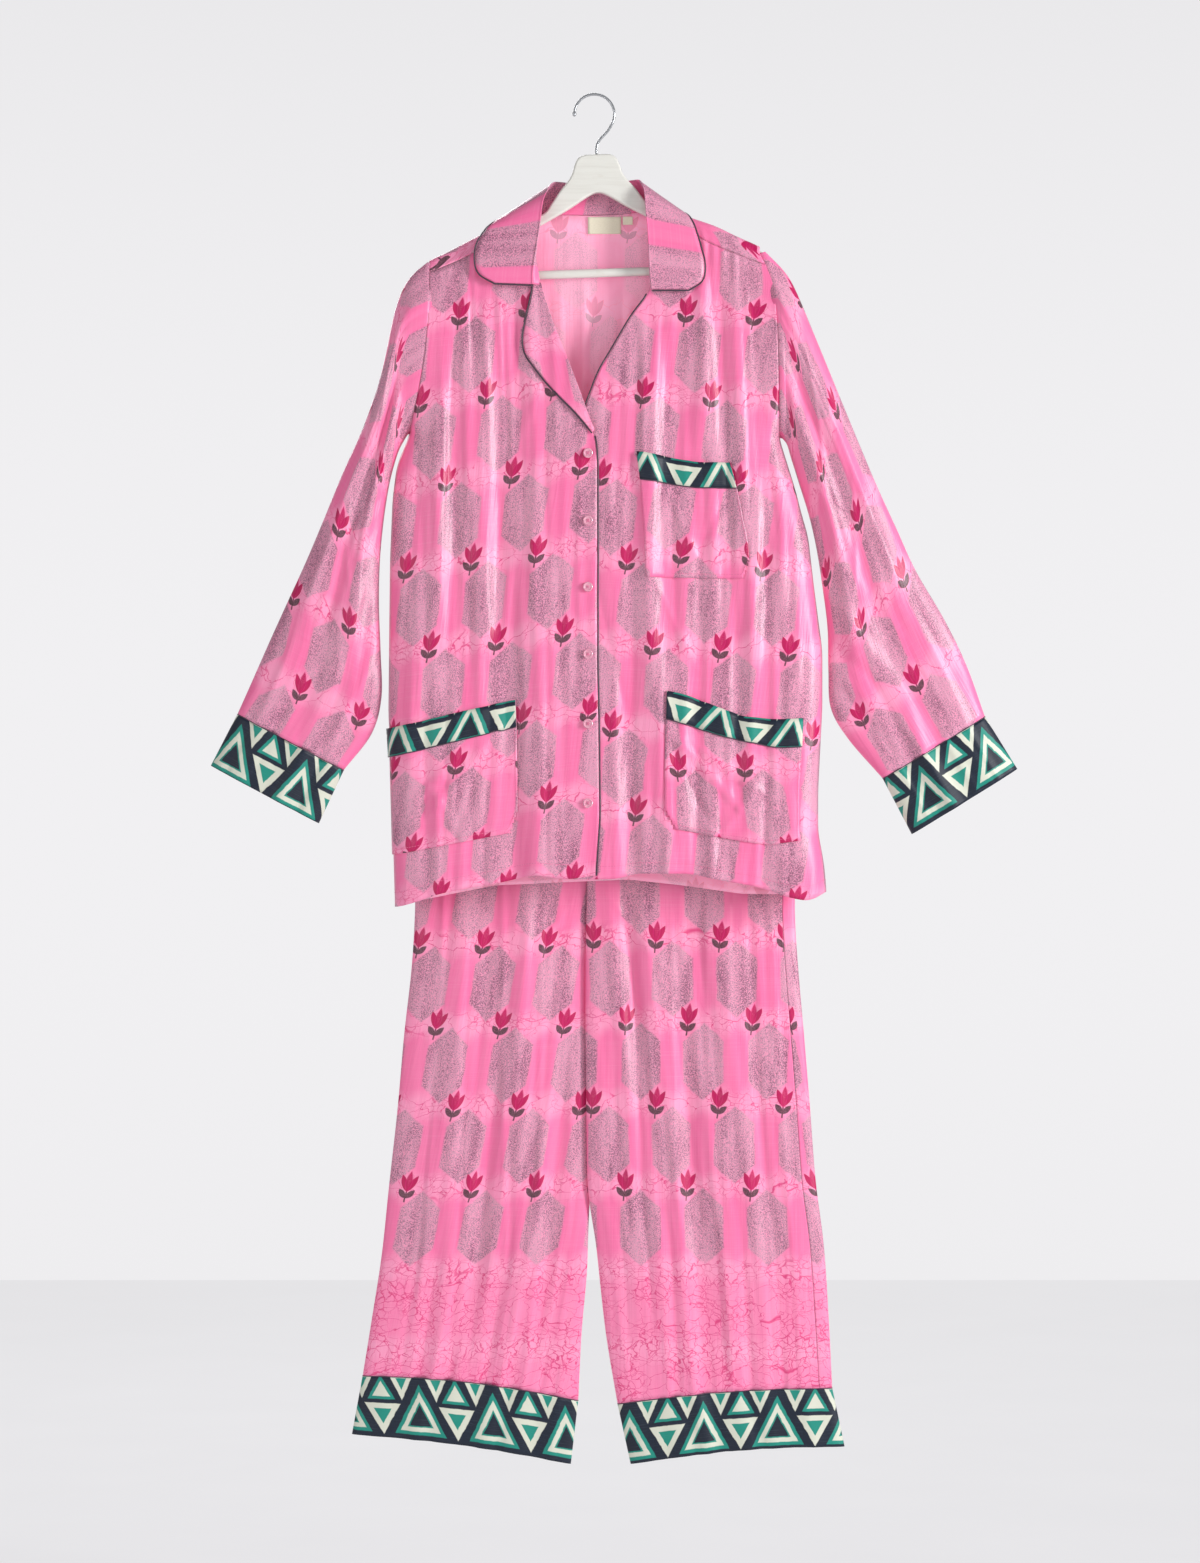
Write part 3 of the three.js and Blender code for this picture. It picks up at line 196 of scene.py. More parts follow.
# Gathers below the shoulder seams: x, length and height
GATHERS = [
    (-186, 70, 1.6), (-175, 110, 2.0), (-165, 60, 1.4), (-156, 95, 1.9), (-143, 130, 2.2), (-132, 75, 1.5),
    (-122, 100, 1.9), (-110, 60, 1.4), (-99, 85, 1.6), (-90, 55, 1.2), (86, 60, 1.3), (97, 90, 1.8),
    (108, 120, 2.1), (119, 70, 1.6), (131, 105, 2.0), (143, 60, 1.4), (154, 90, 1.8), (168, 115, 2.1),
    (180, 70, 1.6), (192, 90, 1.7),
]
GATHER_WIDE = 3.6

# Sleeves: rings from the armhole to the cuff, as outer x, outer z, inner x, inner z, half depth
SLEEVES = {
    "left": [
        (-222, -220, -229, -414, 22), (-238, -255, -236, -428, 23), (-256, -336, -244, -455, 23),
        (-278, -400, -249, -480, 23), (-302, -454, -254, -515, 22), (-325, -510, -258, -560, 22),
        (-347, -562, -259, -612, 22), (-369, -610, -257, -668, 22), (-389, -654, -256, -722, 22),
        (-411, -704, -268, -766, 22), (-428, -742, -301, -809, 21),
    ],
    "right": [
        (228, -212, 231.5, -419, 22), (242, -236, 236, -434, 23), (265, -291, 246, -466, 23),
        (290, -352, 258, -505, 23), (318, -420, 267, -545, 22), (340, -472, 274, -590, 22),
        (362, -520, 280, -640, 22), (385, -570, 281, -690, 22), (420, -630, 284, -735, 22),
        (446, -684, 305, -772, 22), (468, -745, 346, -819, 21),
    ],
}
CUFF_FEET = {"left": (-460, -804, -331, -873, 22), "right": (507, -808, 381, -886, 22)}
# On a tube a fold's place is its share of the way from the outer to the inner end, and down
SLEEVE_FOLDS = [
    (0.22, -0.1, 0.2, 0.8, 0.07, 4), (0.5, 0.02, 0.45, 1.1, 0.09, -5), (0.72, 0.1, 0.7, 0.9, 0.08, 4),
]
SLEEVE_BACK_FOLDS = [(0.3, 0.0, 0.32, 0.9, 0.09, 4), (0.62, 0.1, 0.58, 1.1, 0.09, -4)]
SLEEVE_CREASES = [
    (0.34, -0.05, 0.3, 0.5, 0.035, 1.8), (0.6, 0.0, 0.62, 0.6, 0.035, -1.6),
    (0.15, 0.2, 0.62, 0.42, 0.05, 1.8),
    (0.85, 0.3, 0.4, 0.55, 0.05, -1.6), (0.2, 0.45, 0.7, 0.66, 0.05, 1.6),
    (0.84, 0.6, 0.5, 0.85, 0.045, 1.5),
    (0.3, 0.62, 0.34, 1.1, 0.035, -1.6), (0.6, 0.7, 0.62, 1.1, 0.035, 1.6),
    (0.16, 0.74, 0.2, 1.1, 0.03, 1.4),
    (0.8, 0.75, 0.8, 1.1, 0.03, -1.4),
]
SLEEVE_BACK_CREASES = [
    (0.2, 0.0, 0.24, 0.5, 0.04, -1.6), (0.75, 0.1, 0.4, 0.5, 0.05, 1.6), (0.2, 0.4, 0.66, 0.7, 0.05, -1.5),
    (0.45, 0.6, 0.48, 1.1, 0.04, 1.6), (0.75, 0.65, 0.76, 1.1, 0.035, 1.4),
    (0.22, 0.7, 0.2, 1.1, 0.035, -1.4),
]

# Trousers: rings of each leg with, last, how far a ring is still half of the hips and its bow
TROUSER_Y = 39.2
LEGS = {
    "left": [
        (-152, -626, -6.4, -626, 13, 1, 0), (-180, -710, -6.4, -710, 15, 1, 0),
        (-200, -800, -6.4, -800, 16, 1, 0), (-212, -880, -6.4, -880, 16, 1, 0),
        (-216, -935, -7.2, -935, 16, 0.6, 0), (-217, -985, -11, -985, 15, 0.1, 0),
        (-221, -1050, -12, -1050, 15, 0, 0), (-230, -1130, -12, -1132, 15, 0, 0),
        (-238, -1220, -11, -1225, 15, 0, 0), (-248, -1310, -9, -1320, 15, 0, 2),
        (-257, -1395, -9, -1405, 15, 0, 4), (-269, -1473, -16, -1490, 15, 0, 6),
        (-280, -1541, -20, -1571, 15, 0, 8),
    ],
    "right": [
        (178, -626, -5.6, -626, 13, 1, 0), (206, -710, -5.6, -710, 15, 1, 0),
        (226, -800, -5.6, -800, 16, 1, 0), (238, -880, -5.6, -880, 16, 1, 0),
        (242, -935, -4.8, -935, 16, 0.6, 0), (242, -985, -6, -985, 15, 0.1, 0),
        (246, -1050, -7, -1050, 15, 0, 0), (253, -1130, -7, -1132, 15, 0, 0),
        (260, -1215, -6, -1225, 15, 0, 0), (267, -1305, -4, -1320, 15, 0, 2),
        (277, -1385, 4, -1400, 15, 0, 4), (283, -1475, 14, -1490, 15, 0, 6),
        (287, -1556, 28, -1575, 15, 0, 6),
    ],
}
BORDER_FEET = {
    "left": (-293, -1612, -29, -1648, 16, 0, 6),
    "right": (302, -1627, 44, -1648, 16, 0, 7),
}
SIDE_SEAM = {"left": 0, "right": 0.5}
SEAM_TRIM = 0.02
LEG_COLUMNS = 110
LEG_ROWS = 160
BORDER_SIDES = 112
BORDER_GAP = 0.55
WAISTBAND = {"top": -590, "foot": -625.4, "depth": 12.5, "waves": 52, "wave": 1.1,
             "sides": 312, "rows": 10}
LEG_FOLDS = {
    "left": [
        (0.2, -0.1, 0.36, 0.95, 0.07, 4), (0.42, 0.0, 0.52, 1.1, 0.08, -4),
        (0.66, 0.1, 0.66, 1.0, 0.08, 4), (0.85, 0.3, 0.84, 1.1, 0.06, -3),
    ],
    "right": [
        (0.88, 0.25, 0.84, 1.0, 0.06, 4), (0.7, 0.1, 0.7, 1.1, 0.08, 4),
        (0.52, 0.05, 0.55, 1.1, 0.08, -4), (0.3, 0.0, 0.36, 0.95, 0.07, 4),
    ],
}
LEG_CREASES = {
    "left": [
        (0.12, 0.1, 0.22, 0.9, 0.03, 2.0), (0.3, 0.3, 0.42, 1.1, 0.028, -2.0),
        (0.5, 0.25, 0.6, 0.9, 0.028, 1.8),
        (0.74, 0.2, 0.76, 1.1, 0.028, 2.0), (0.9, 0.35, 0.92, 1.1, 0.025, 1.8),
        (0.58, 0.6, 0.7, 1.1, 0.03, -1.8),
        (0.2, 0.5, 0.16, 1.1, 0.03, -1.6), (0.95, 0.36, 0.7, 0.5, 0.03, 1.4),
    ],
    "right": [
        (0.97, 0.3, 0.93, 1.1, 0.022, 2.2), (0.79, 0.25, 0.78, 1.0, 0.026, -2.0),
        (0.6, 0.3, 0.64, 1.1, 0.028, 1.8),
        (0.42, 0.25, 0.46, 1.0, 0.028, 2.0), (0.2, 0.3, 0.24, 1.1, 0.03, -1.8),
        (0.36, 0.6, 0.3, 1.1, 0.03, -1.6),
        (0.12, 0.35, 0.14, 1.1, 0.028, 1.8), (0.95, 0.36, 0.6, 0.52, 0.03, 1.4),
    ],
}
LEG_BACK_FOLDS = {
    "left": [
        (0.3, -0.1, 0.36, 1.1, 0.09, 4), (0.62, 0.1, 0.58, 1.0, 0.09, -3),
        (0.8, 0.2, 0.78, 1.1, 0.08, 3),
    ],
    "right": [
        (0.28, -0.1, 0.36, 1.1, 0.09, 4), (0.6, 0.1, 0.56, 1.0, 0.09, -3),
        (0.82, 0.2, 0.78, 1.1, 0.08, 3),
    ],
}
LEG_BACK_CREASES = [
    (0.1, 0.05, 0.18, 0.7, 0.03, 1.8), (0.22, -0.05, 0.2, 0.3, 0.025, -1.6),
    (0.4, -0.05, 0.42, 0.5, 0.03, 1.8),
    (0.52, -0.05, 0.54, 0.28, 0.025, -1.5), (0.7, -0.05, 0.68, 0.45, 0.03, 1.8),
    (0.88, 0.0, 0.88, 0.6, 0.025, -1.6),
    (0.3, 0.5, 0.26, 1.1, 0.03, -1.8), (0.48, 0.55, 0.5, 1.1, 0.03, 1.8), (0.7, 0.6, 0.72, 1.1, 0.03, -1.6),
    (0.9, 0.4, 0.7, 0.56, 0.03, 1.5),
]

# Collar stations from its left front end round the back to its right front end: a point on the
# neckline seam, one on the roll and one on the free edge
COLLAR = [
    ((-66, -19.5, -229), (-72, -23, -229), (-119, -22.5, -227)),
    ((-67, -18, -215), (-72, -24, -215), (-137, -22.5, -216)),
    ((-70, -16.5, -196), (-70, -24, -196), (-142, -22, -201)),
    ((-74, -15, -176), (-68, -23, -178), (-140, -20, -181)),
    ((-77, -13.5, -160), (-65, -22, -154), (-129, -18, -163)),
    ((-77, -12, -148), (-62, -19, -130), (-122, -13, -155)),
    ((-75.5, -6, -136.5), (-55, -9, -112), (-117, -5, -150)),
    ((-74, 2, -133), (-50, 1, -105), (-114, 5, -148)),
    ((-70, 9.3, -138), (-43, 11, -103.5), (-103, 17, -152)),
    ((-50, 10.2, -141.4), (-30, 17, -104), (-68, 24, -164)),
    ((-22, 10.2, -141.9), (-12, 19, -105), (-26, 26, -171)),
    ((18, 10.2, -141.4), (16, 19, -104.5), (24, 26, -170)),
    ((45, 10.2, -139.7), (36, 17, -102), (66, 24, -161)),
    ((65, 9.3, -133), (48, 11, -101), (96, 17, -146)),
    ((68.5, 2, -128.5), (54, 1, -102), (106, 5, -140)),
    ((70, -6, -133), (57, -9, -108), (108, -5, -141)),
    ((71.5, -12, -145), (60, -19, -120), (113, -13, -147)),
    ((72, -13.5, -160), (62, -22, -146), (119, -18, -160)),
    ((70, -15, -176), (64, -23, -172), (126, -20, -183)),
    ((69, -16.5, -200), (65, -24, -196), (131, -22, -205)),
    ((68, -18, -220), (66, -24, -219), (128, -22.5, -224)),
    ((68, -20, -233.5), (67.5, -23.5, -235), (112, -22.5, -235)),
]
COLLAR_ROLL = 3.4
COLLAR_GRID = (110, 40)
COLLAR_PIPE_FROM = 23
COLLAR_PRINT_FROM = 47
COLLAR_PRINT_ALONG = 0.968
COLLAR_PRINT_FLAT = 0.4
# The turned-back lapel, as roll x, roll z, edge x, edge z
LAPEL = [
    (-64, -226, -73, -225), (-61, -238, -74, -236), (-57, -250, -77, -251),
    (-51, -268, -82, -273), (-43, -290, -85, -294),
    (-36, -307, -82, -312), (-30, -322, -71, -328), (-24, -338, -55, -348), (-18, -354, -42, -362),
    (-13, -368, -28, -376), (-9, -380, -17, -388), (0, -402, -2, -406),
]
LAPEL_STAND = (2.0, 2.6)
LAPEL_GRID = (50, 18)
PIPE_RADIUS = 1.0
PIPE_STEP = 1.4
PIPE_SIDES = 10
# Stitches: sizes in millimetres, then places as rows and columns of the grid
STITCH = {"pitch": 3.4, "long": 2.4, "wide": 0.5, "high": 0.22, "hem": 3, "inset": 1,
          "corner": 5, "start": 2}
# Thin cords sewn in at the tops of the cuffs and borders, and under the pocket bands
TRIM_RADIUS = 0.75
TUBE_TRIMS = ("cuff_left", "cuff_right", "trouser_border_left", "trouser_border_right")

# The blank labels inside the back neck
LABELS = {"label_main": (-8, 32, -144.5, -165), "label_size": (34, 46, -144, -154)}
LABEL_THICK = 1.0
LABEL_OFF = 1.75

# Hanger, drawn level and then tilted about the hook
HANGER_TILT = math.radians(-2)
HANGER_THICK = 12
HANGER_BEVEL = 2.5
HANGER_HALF = [
    (20, -73), (24.5, -77.5), (27.5, -85), (31, -95), (37, -104), (45, -113),
    (56, -128), (68, -141), (110, -157), (150, -172), (190, -192),
    (203, -208), (204, -216), (195, -223), (178, -222), (178, -206), (150, -191), (100, -169),
    (40, -138), (12, -121),
]
PLATE_TOP = -71
HOOK_RADIUS = 24
HOOK_WIRE = 1.65
HOOK_BALL = 2.6
HOOK_CENTRE_Z = HOOK_WIRE - HOOK_RADIUS
HOOK_TAIL = [(15.5, -41.5), (10.5, -47), (5, -52.5), (1.5, -58), (0, -64), (0, PLATE_TOP + 0.3)]
BAR_RADIUS = 5.25
BAR_Z = -213
BAR_HALF = 177.6


def smooth(value, low, high):
    share = np.clip((value - low) / (high - low), 0, 1)
    return share * share * (3 - 2 * share)


def mix(start, end, share):
    return start + (end - start) * share


def line_at(line, x):
    """Height of a line of (x, z) points at x, its corners rounded a little."""
    points = np.array(line, float)
    shifts = (-9, -3, 3, 9)
    return sum(np.interp(x + shift, points[:, 0], points[:, 1]) for shift in shifts) / len(shifts)


def at_height(table, z):
    """Value at height z in a table of (z, value) rows that run downwards."""
    return line_at(table[::-1], z)


def curve(points, count):
    """count points on a smooth curve through the rows of points."""
    given = np.asarray(points, float)
    given = np.concatenate([2 * given[:1] - given[1:2], given, 2 * given[-1:] - given[-2:-1]])
    place = np.linspace(0, len(given) - 3, count)
    first = np.minimum(place.astype(int), len(given) - 4)
    share = (place - first).reshape((-1,) + (1,) * (given.ndim - 1))
    a, b, c, d = (given[first + k] for k in range(4))
    return b + 0.5 * share * (c - a + share * (2 * a - 5 * b + 4 * c - d + share * (3 * (b - c) + d - a)))


def fold_height(folds, across, down, sharp=False):
    """Height of the cloth above its plain form. Sharp folds have a narrow top and long sides."""
    height = np.zeros(np.broadcast(across, down).shape)
    for number, (head, head_drop, foot, foot_drop, wide, high) in enumerate(folds):
        share = (down - head_drop) / (foot_drop - head_drop)
        strength = smooth(share, 0, 0.2) * (1 - smooth(share, 0.8, 1))
        sway = SWAY * np.sin(5 * share + 1.7 * number)
        off = (across - mix(head, foot, share)) / wide - sway
        shape = np.exp(-2 * (np.sqrt(off * off + 0.03) - 0.17)) if sharp else np.exp(-off * off)
        height += high * strength * shape
    return height


def ripple_height(across, down, phase=0.0):
    """Fine soft folds that run down the cloth, never above its main form."""
    height = np.zeros(np.broadcast(across, down).shape)
    for wide, sway, long, high in RIPPLES:
        wave = np.sin(2 * math.pi * (across + sway * np.sin(down / long + phase)) / wide + phase + long)
        strength = 0.55 + 0.45 * np.sin(across / 61 + down / (2.3 * long) + wide)
        height += high * strength * (wave * np.abs(wave) - 1)
    return height


def gather_height(x, z):
    height = np.zeros(np.broadcast(x, z).shape)
    for place, length, high in GATHERS:
        seam = line_at(SEAM_LEFT if place < 0 else SEAM_RIGHT, np.float64(place))
        down = (seam - z) / length
        off = (x - place) / (GATHER_WIDE * (1 + down))
        height += high * (1 - smooth(down, 0, 1)) * np.exp(-off * off)
    return height


def armhole_depth(side, z):
    """Half the width of the armhole, front to back, at a height."""
    spring = TOP_END[side][0][0] - SHOULDER_ROUND
    above = np.sqrt(np.clip(SHOULDER_ROUND ** 2 - (z - spring) ** 2, 0, None))
    share = np.clip((spring - z) / (spring - UNDERARM[side]), 0, 1)
    widening = np.sin(np.minimum(1, 1.8 * share) * math.pi / 2)
    below = mix(SHOULDER_ROUND, ARMHOLE_DEPTH, widening) * np.sqrt(1 - share ** 6)
    return np.where(z > spring, above, below)


def top_depth(face, x, z):
    """How deep the top's front or back stands from the plane of its seams."""
    left, right = at_height(TOP_END["left"], z), at_height(TOP_END["right"], z)
    inward = np.clip(np.minimum(x - left, right - x) / SIDE_ROUND, 0, 1)
    rise = np.sqrt(1 - (1 - inward) ** 2)
    hole = np.where(x < (left + right) / 2, armhole_depth("left", z), armhole_depth("right", z))
    if face == "front":
        folds = fold_height(FRONT_FOLDS, x, -z) + fold_height(FRONT_CREASES, x, -z, sharp=True)
        folds += fold_height(POCKET_CREASES, x, -z, sharp=True) + gather_height(x, z)
    else:
        folds = fold_height(BACK_FOLDS, x, -z) + fold_height(BACK_CREASES, x, -z, sharp=True)
    folds += ripple_height(x, -z, 0.0 if face == "front" else 2.0) * (1 - smooth(z, *RIPPLE_FROM))
    plain = mix(np.maximum(hole, HALF_GAP), at_height(TOP_DEPTH[face], z), rise)
    return plain + smooth(inward, 0.1, 1) * folds


def front_points(x, z, lift=0):
    return np.stack([x, -top_depth("front", x, z) - lift, z], -1)


def back_points(x, z, lift=0):
    return np.stack([x, top_depth("back", x, z) + lift, z], -1)


def lapping_points(x, z, lift=0):
    lap = LAP_LIFT * smooth(x, *LAP_ACROSS) * (1 - smooth(z, *LAP_DOWN))
    return front_points(x, z, lift + lap)


def front_rows(side, guides, shares):
    """Points of a front at the guides, which may be fractions, and shares of the way across."""
    panel = FRONTS[side]
    lines = panel["guides"]
    rows = []
    for guide in guides:
        first = min(int(guide), len(lines) - 2)
        heights = []
        for line in lines[first:first + 2]:
            heights.append(line_at(line, mix(line[0][0], line[-1][0], shares)))
        z = mix(heights[0], heights[1], guide - first)
        ends = [at_height(panel["from"], z[0]), at_height(panel["to"], z[-1])]
        if shares[0] > 0 or shares[-1] < 1:
            whole = front_rows(side, [guide], np.array([0.0, 1.0]))[0]
            ends = [whole[0, 0], whole[-1, 0]]
        x = mix(ends[0], ends[1], shares)
        rows.append(lapping_points(x, z) if side == "left" else front_points(x, z))
    return np.array(rows)


def guide_values(side, first, last):
    """Fractions of guides at an even spacing from one guide to another."""
    lines = FRONTS[side]["guides"]
    values = [float(first)]
    for guide in range(first, last):
        tall = abs(lines[guide][0][1] - lines[guide + 1][0][1])
        count = max(2, round(tall / DOWN_STEP))
        values.extend(guide + np.arange(1, count + 1) / count)
    return values


def normals_of(points):
    """Unit normals of a grid of points, to the front for rows that run down and to the right."""
    across = np.gradient(points, axis=1)
    down = np.gradient(points, axis=0)
    normal = np.cross(down, across)
    return normal / np.linalg.norm(normal, axis=2, keepdims=True)


def arc_lengths(grid):
    """Lengths along each row of a grid of points, from its first column."""
    run = np.zeros(grid.shape[:2])
    run[:, 1:] = np.cumsum(np.linalg.norm(np.diff(grid, axis=1), axis=2), axis=1)
    return run


def flat_cloth(points, wraps=False):
    """Places on a piece's own flat cloth, in millimetres: along each row from its middle, and down."""
    grid = np.concatenate([points, points[:, :1]], axis=1) if wraps else points
    middle = grid.shape[1] // (4 if wraps else 2)
    run = arc_lengths(grid)
    drop = arc_lengths(grid.transpose(1, 0, 2)).T.mean(axis=1)
    return np.stack([run - run[:, [middle]], -np.repeat(drop[:, None], grid.shape[1], axis=1)], -1)


def printed_cloth(points, layout, over=False):
    """Places on the print: the layout gives where one hexagon's centre lies, how far its rows rise to
    the right and its columns lean to the right. over measures the drop where cloth turns a shoulder."""
    middle = points.shape[1] // 2
    run = arc_lengths(points)
    run = (run - run[:, [middle]]) * np.sign(points[0, -1, 0] - points[0, 0, 0])
    u = run + points[:, [middle], 0] - layout["x"]
    v = points[..., 2] - layout["z"]
    if over:
        v = points[:1, :, 2] + arc_lengths(points.transpose(1, 0, 2)).T - layout["z"]
    rise, lean = math.radians(layout["rise"]), math.radians(layout["lean"])
    across = (u * math.cos(lean) - v * math.sin(lean)) / math.cos(rise + lean)
    up = (v * math.cos(rise) - u * math.sin(rise)) / math.cos(rise + lean)
    return np.stack([across * LATTICE / layout["pitch"], up], -1)


def mesh_of(name, points, faces, rounded=False):
    """A mesh from points in millimetres, shaded smooth if rounded."""
    mesh = bpy.data.meshes.new(name)
    mesh.from_pydata((np.asarray(points) * MM).tolist(), [], faces)
    if rounded:
        mesh.polygons.foreach_set("use_smooth", np.ones(len(mesh.polygons), bool))
    return mesh


def finish_piece(piece, material, nodes):
    piece.data.materials.append(material)
    bpy.context.scene.collection.objects.link(piece)
    if nodes:
        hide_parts(*nodes)
    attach(piece, "root")
    return piece


def cloth(name, points, places, material, nodes, wraps=False, keep=None, thickness=CLOTH, reverse=None):
    """A wall of cloth on a grid of points, with its places on the flat cloth as UVs in metres."""
    rows, across = points.shape[:2]
    j, i = np.meshgrid(np.arange(rows - 1), np.arange(across if wraps else across - 1), indexing="ij")
    if keep is not None:
        j, i = j[keep], i[keep]
    corners = [(j, i), (j, i + 1), (j + 1, i + 1), (j + 1, i)]
    faces = np.stack([a * across + b % across for a, b in corners], -1).reshape(-1, 4)
    used, faces = np.unique(faces, return_inverse=True)
    mesh = mesh_of(name, points.reshape(-1, 3)[used], faces.reshape(-1, 4).tolist(), rounded=True)
    layer = mesh.uv_layers.new(name="cloth")
    uv = np.stack([places[a, b] for a, b in corners], -2) * MM
    layer.data.foreach_set("uv", uv.astype(np.float32).ravel())
    piece = bpy.data.objects.new(f"{name}_cloth", mesh)
    wall = piece.modifiers.new("wall", "SOLIDIFY")
    wall.thickness = thickness * MM
    wall.offset = 0
    if reverse:
        mesh.materials.append(reverse)
        wall.material_offset = 1
    return finish_piece(piece, material, nodes)


def ring_faces(rings, sides):
    """Faces round a stack of rings, with both ends closed."""
    j, k = np.meshgrid(np.arange(rings - 1), np.arange(sides), indexing="ij")
    after = (k + 1) % sides
    faces = np.stack([j * sides + k, j * sides + after, (j + 1) * sides + after, (j + 1) * sides + k], -1)
    last = (rings - 1) * sides
    return [*faces.reshape(-1, 4).tolist(), list(range(sides))[::-1], [last + k for k in range(sides)]]


def cord(name, path, radius, material, nodes, sides=PIPE_SIDES):
    """A round cord or wire along points, closed at both ends. radius may differ along it."""
    path = np.asarray(path, float)
    radius = np.broadcast_to(radius, len(path))
    along = np.gradient(path, axis=0)
    along /= np.linalg.norm(along, axis=1, keepdims=True)
    side = np.array([0.1, 1, 0.1])
    rings = []
    for n, point in enumerate(path):
        side = side - along[n] * side.dot(along[n])
        side /= np.linalg.norm(side)
        other = np.cross(along[n], side)
        angle = np.arange(sides)[:, None] * 2 * math.pi / sides
        rings.append(point + radius[n] * (np.cos(angle) * side + np.sin(angle) * other))
    rings = np.array(rings)
    faces = ring_faces(len(path), sides)
    mesh = mesh_of(name, rings.reshape(-1, 3), faces, rounded=True)
    return finish_piece(bpy.data.objects.new(f"{name}_cord", mesh), material, nodes)


def seam_line(rows, down, across):
    """Points of a seam at places on a grid of cloth, and the normals there."""
    return rows[down, across], normals_of(rows)[down, across]


def stitches(name, seams, material):
    """A row of short threads along each seam, half sunk in the cloth."""
    corners = np.array([(a, b, c) for a in (-1, 1) for b in (-1, 1) for c in (-1, 1)])
    sides = [(0, 1, 3, 2), (4, 6, 7, 5), (0, 4, 5, 1), (2, 3, 7, 6), (0, 2, 6, 4), (1, 5, 7, 3)]
    points = []
    for line, normals in seams:
        run = arc_lengths(line[None])[0]
        middles = np.arange(STITCH["pitch"] / 2, run[-1], STITCH["pitch"])
        middle = np.stack([np.interp(middles, run, line[:, k]) for k in range(3)], -1)
        normal = np.stack([np.interp(middles, run, normals[:, k]) for k in range(3)], -1)
        ahead = np.gradient(middle, axis=0)
        ahead /= np.linalg.norm(ahead, axis=1, keepdims=True)
        side = np.cross(ahead, normal)
        middle = middle + normal * CLOTH / 2
        axes = np.stack([ahead * STITCH["long"] / 2, side * STITCH["wide"] / 2, normal * STITCH["high"]], 1)
        points.append((middle[:, None] + np.einsum("ck,nkd->ncd", corners, axes)).reshape(-1, 3))
    points = np.concatenate(points)
    starts = range(0, len(points), len(corners))
    faces = [[start + k for k in side] for start in starts for side in sides]
    return finish_piece(bpy.data.objects.new(name, mesh_of(name, points, faces)), material, [])


class Field:
    """A number at each point of a material, built from Math nodes with ordinary arithmetic."""

    def __init__(self, tree, socket):
        self.tree = tree
        self.socket = socket

    def math(self, operation, *others, clamp=False):
        node = self.tree.nodes.new("ShaderNodeMath")
        node.operation = operation
        node.use_clamp = clamp
        for slot, value in zip(node.inputs, (self, *others)):
            if isinstance(value, Field):
                self.tree.links.new(value.socket, slot)
            else:
                slot.default_value = value
        return Field(self.tree, node.outputs[0])

    def __add__(self, other):
        return self.math("ADD", other)

    def __sub__(self, other):
        return self.math("SUBTRACT", other)

    def __mul__(self, other):
        return self.math("MULTIPLY", other)

    def __abs__(self):
        return self.math("ABSOLUTE")

    def wrapped(self, period):
        """The distance from the nearest whole period, with its sign."""
        return (self + period / 2).math("FLOORED_MODULO", period) - period / 2

    def most(self, other):
        return self.math("MAXIMUM", other)

    def below(self, limit, soft):
        """1 where the number is under the limit, fading to 0 over a width of soft."""
        return self.math("MULTIPLY_ADD", -1 / soft, limit / soft + 0.5, clamp=True)


def linear(red, green, blue):
    """A display colour, 0 to 255, as the linear colour that shaders take."""
    return (*[(value / 255 / 12.92 if value <= 10 else ((value / 255 + 0.055) / 1.055) ** 2.4)
              for value in (red, green, blue)], 1)


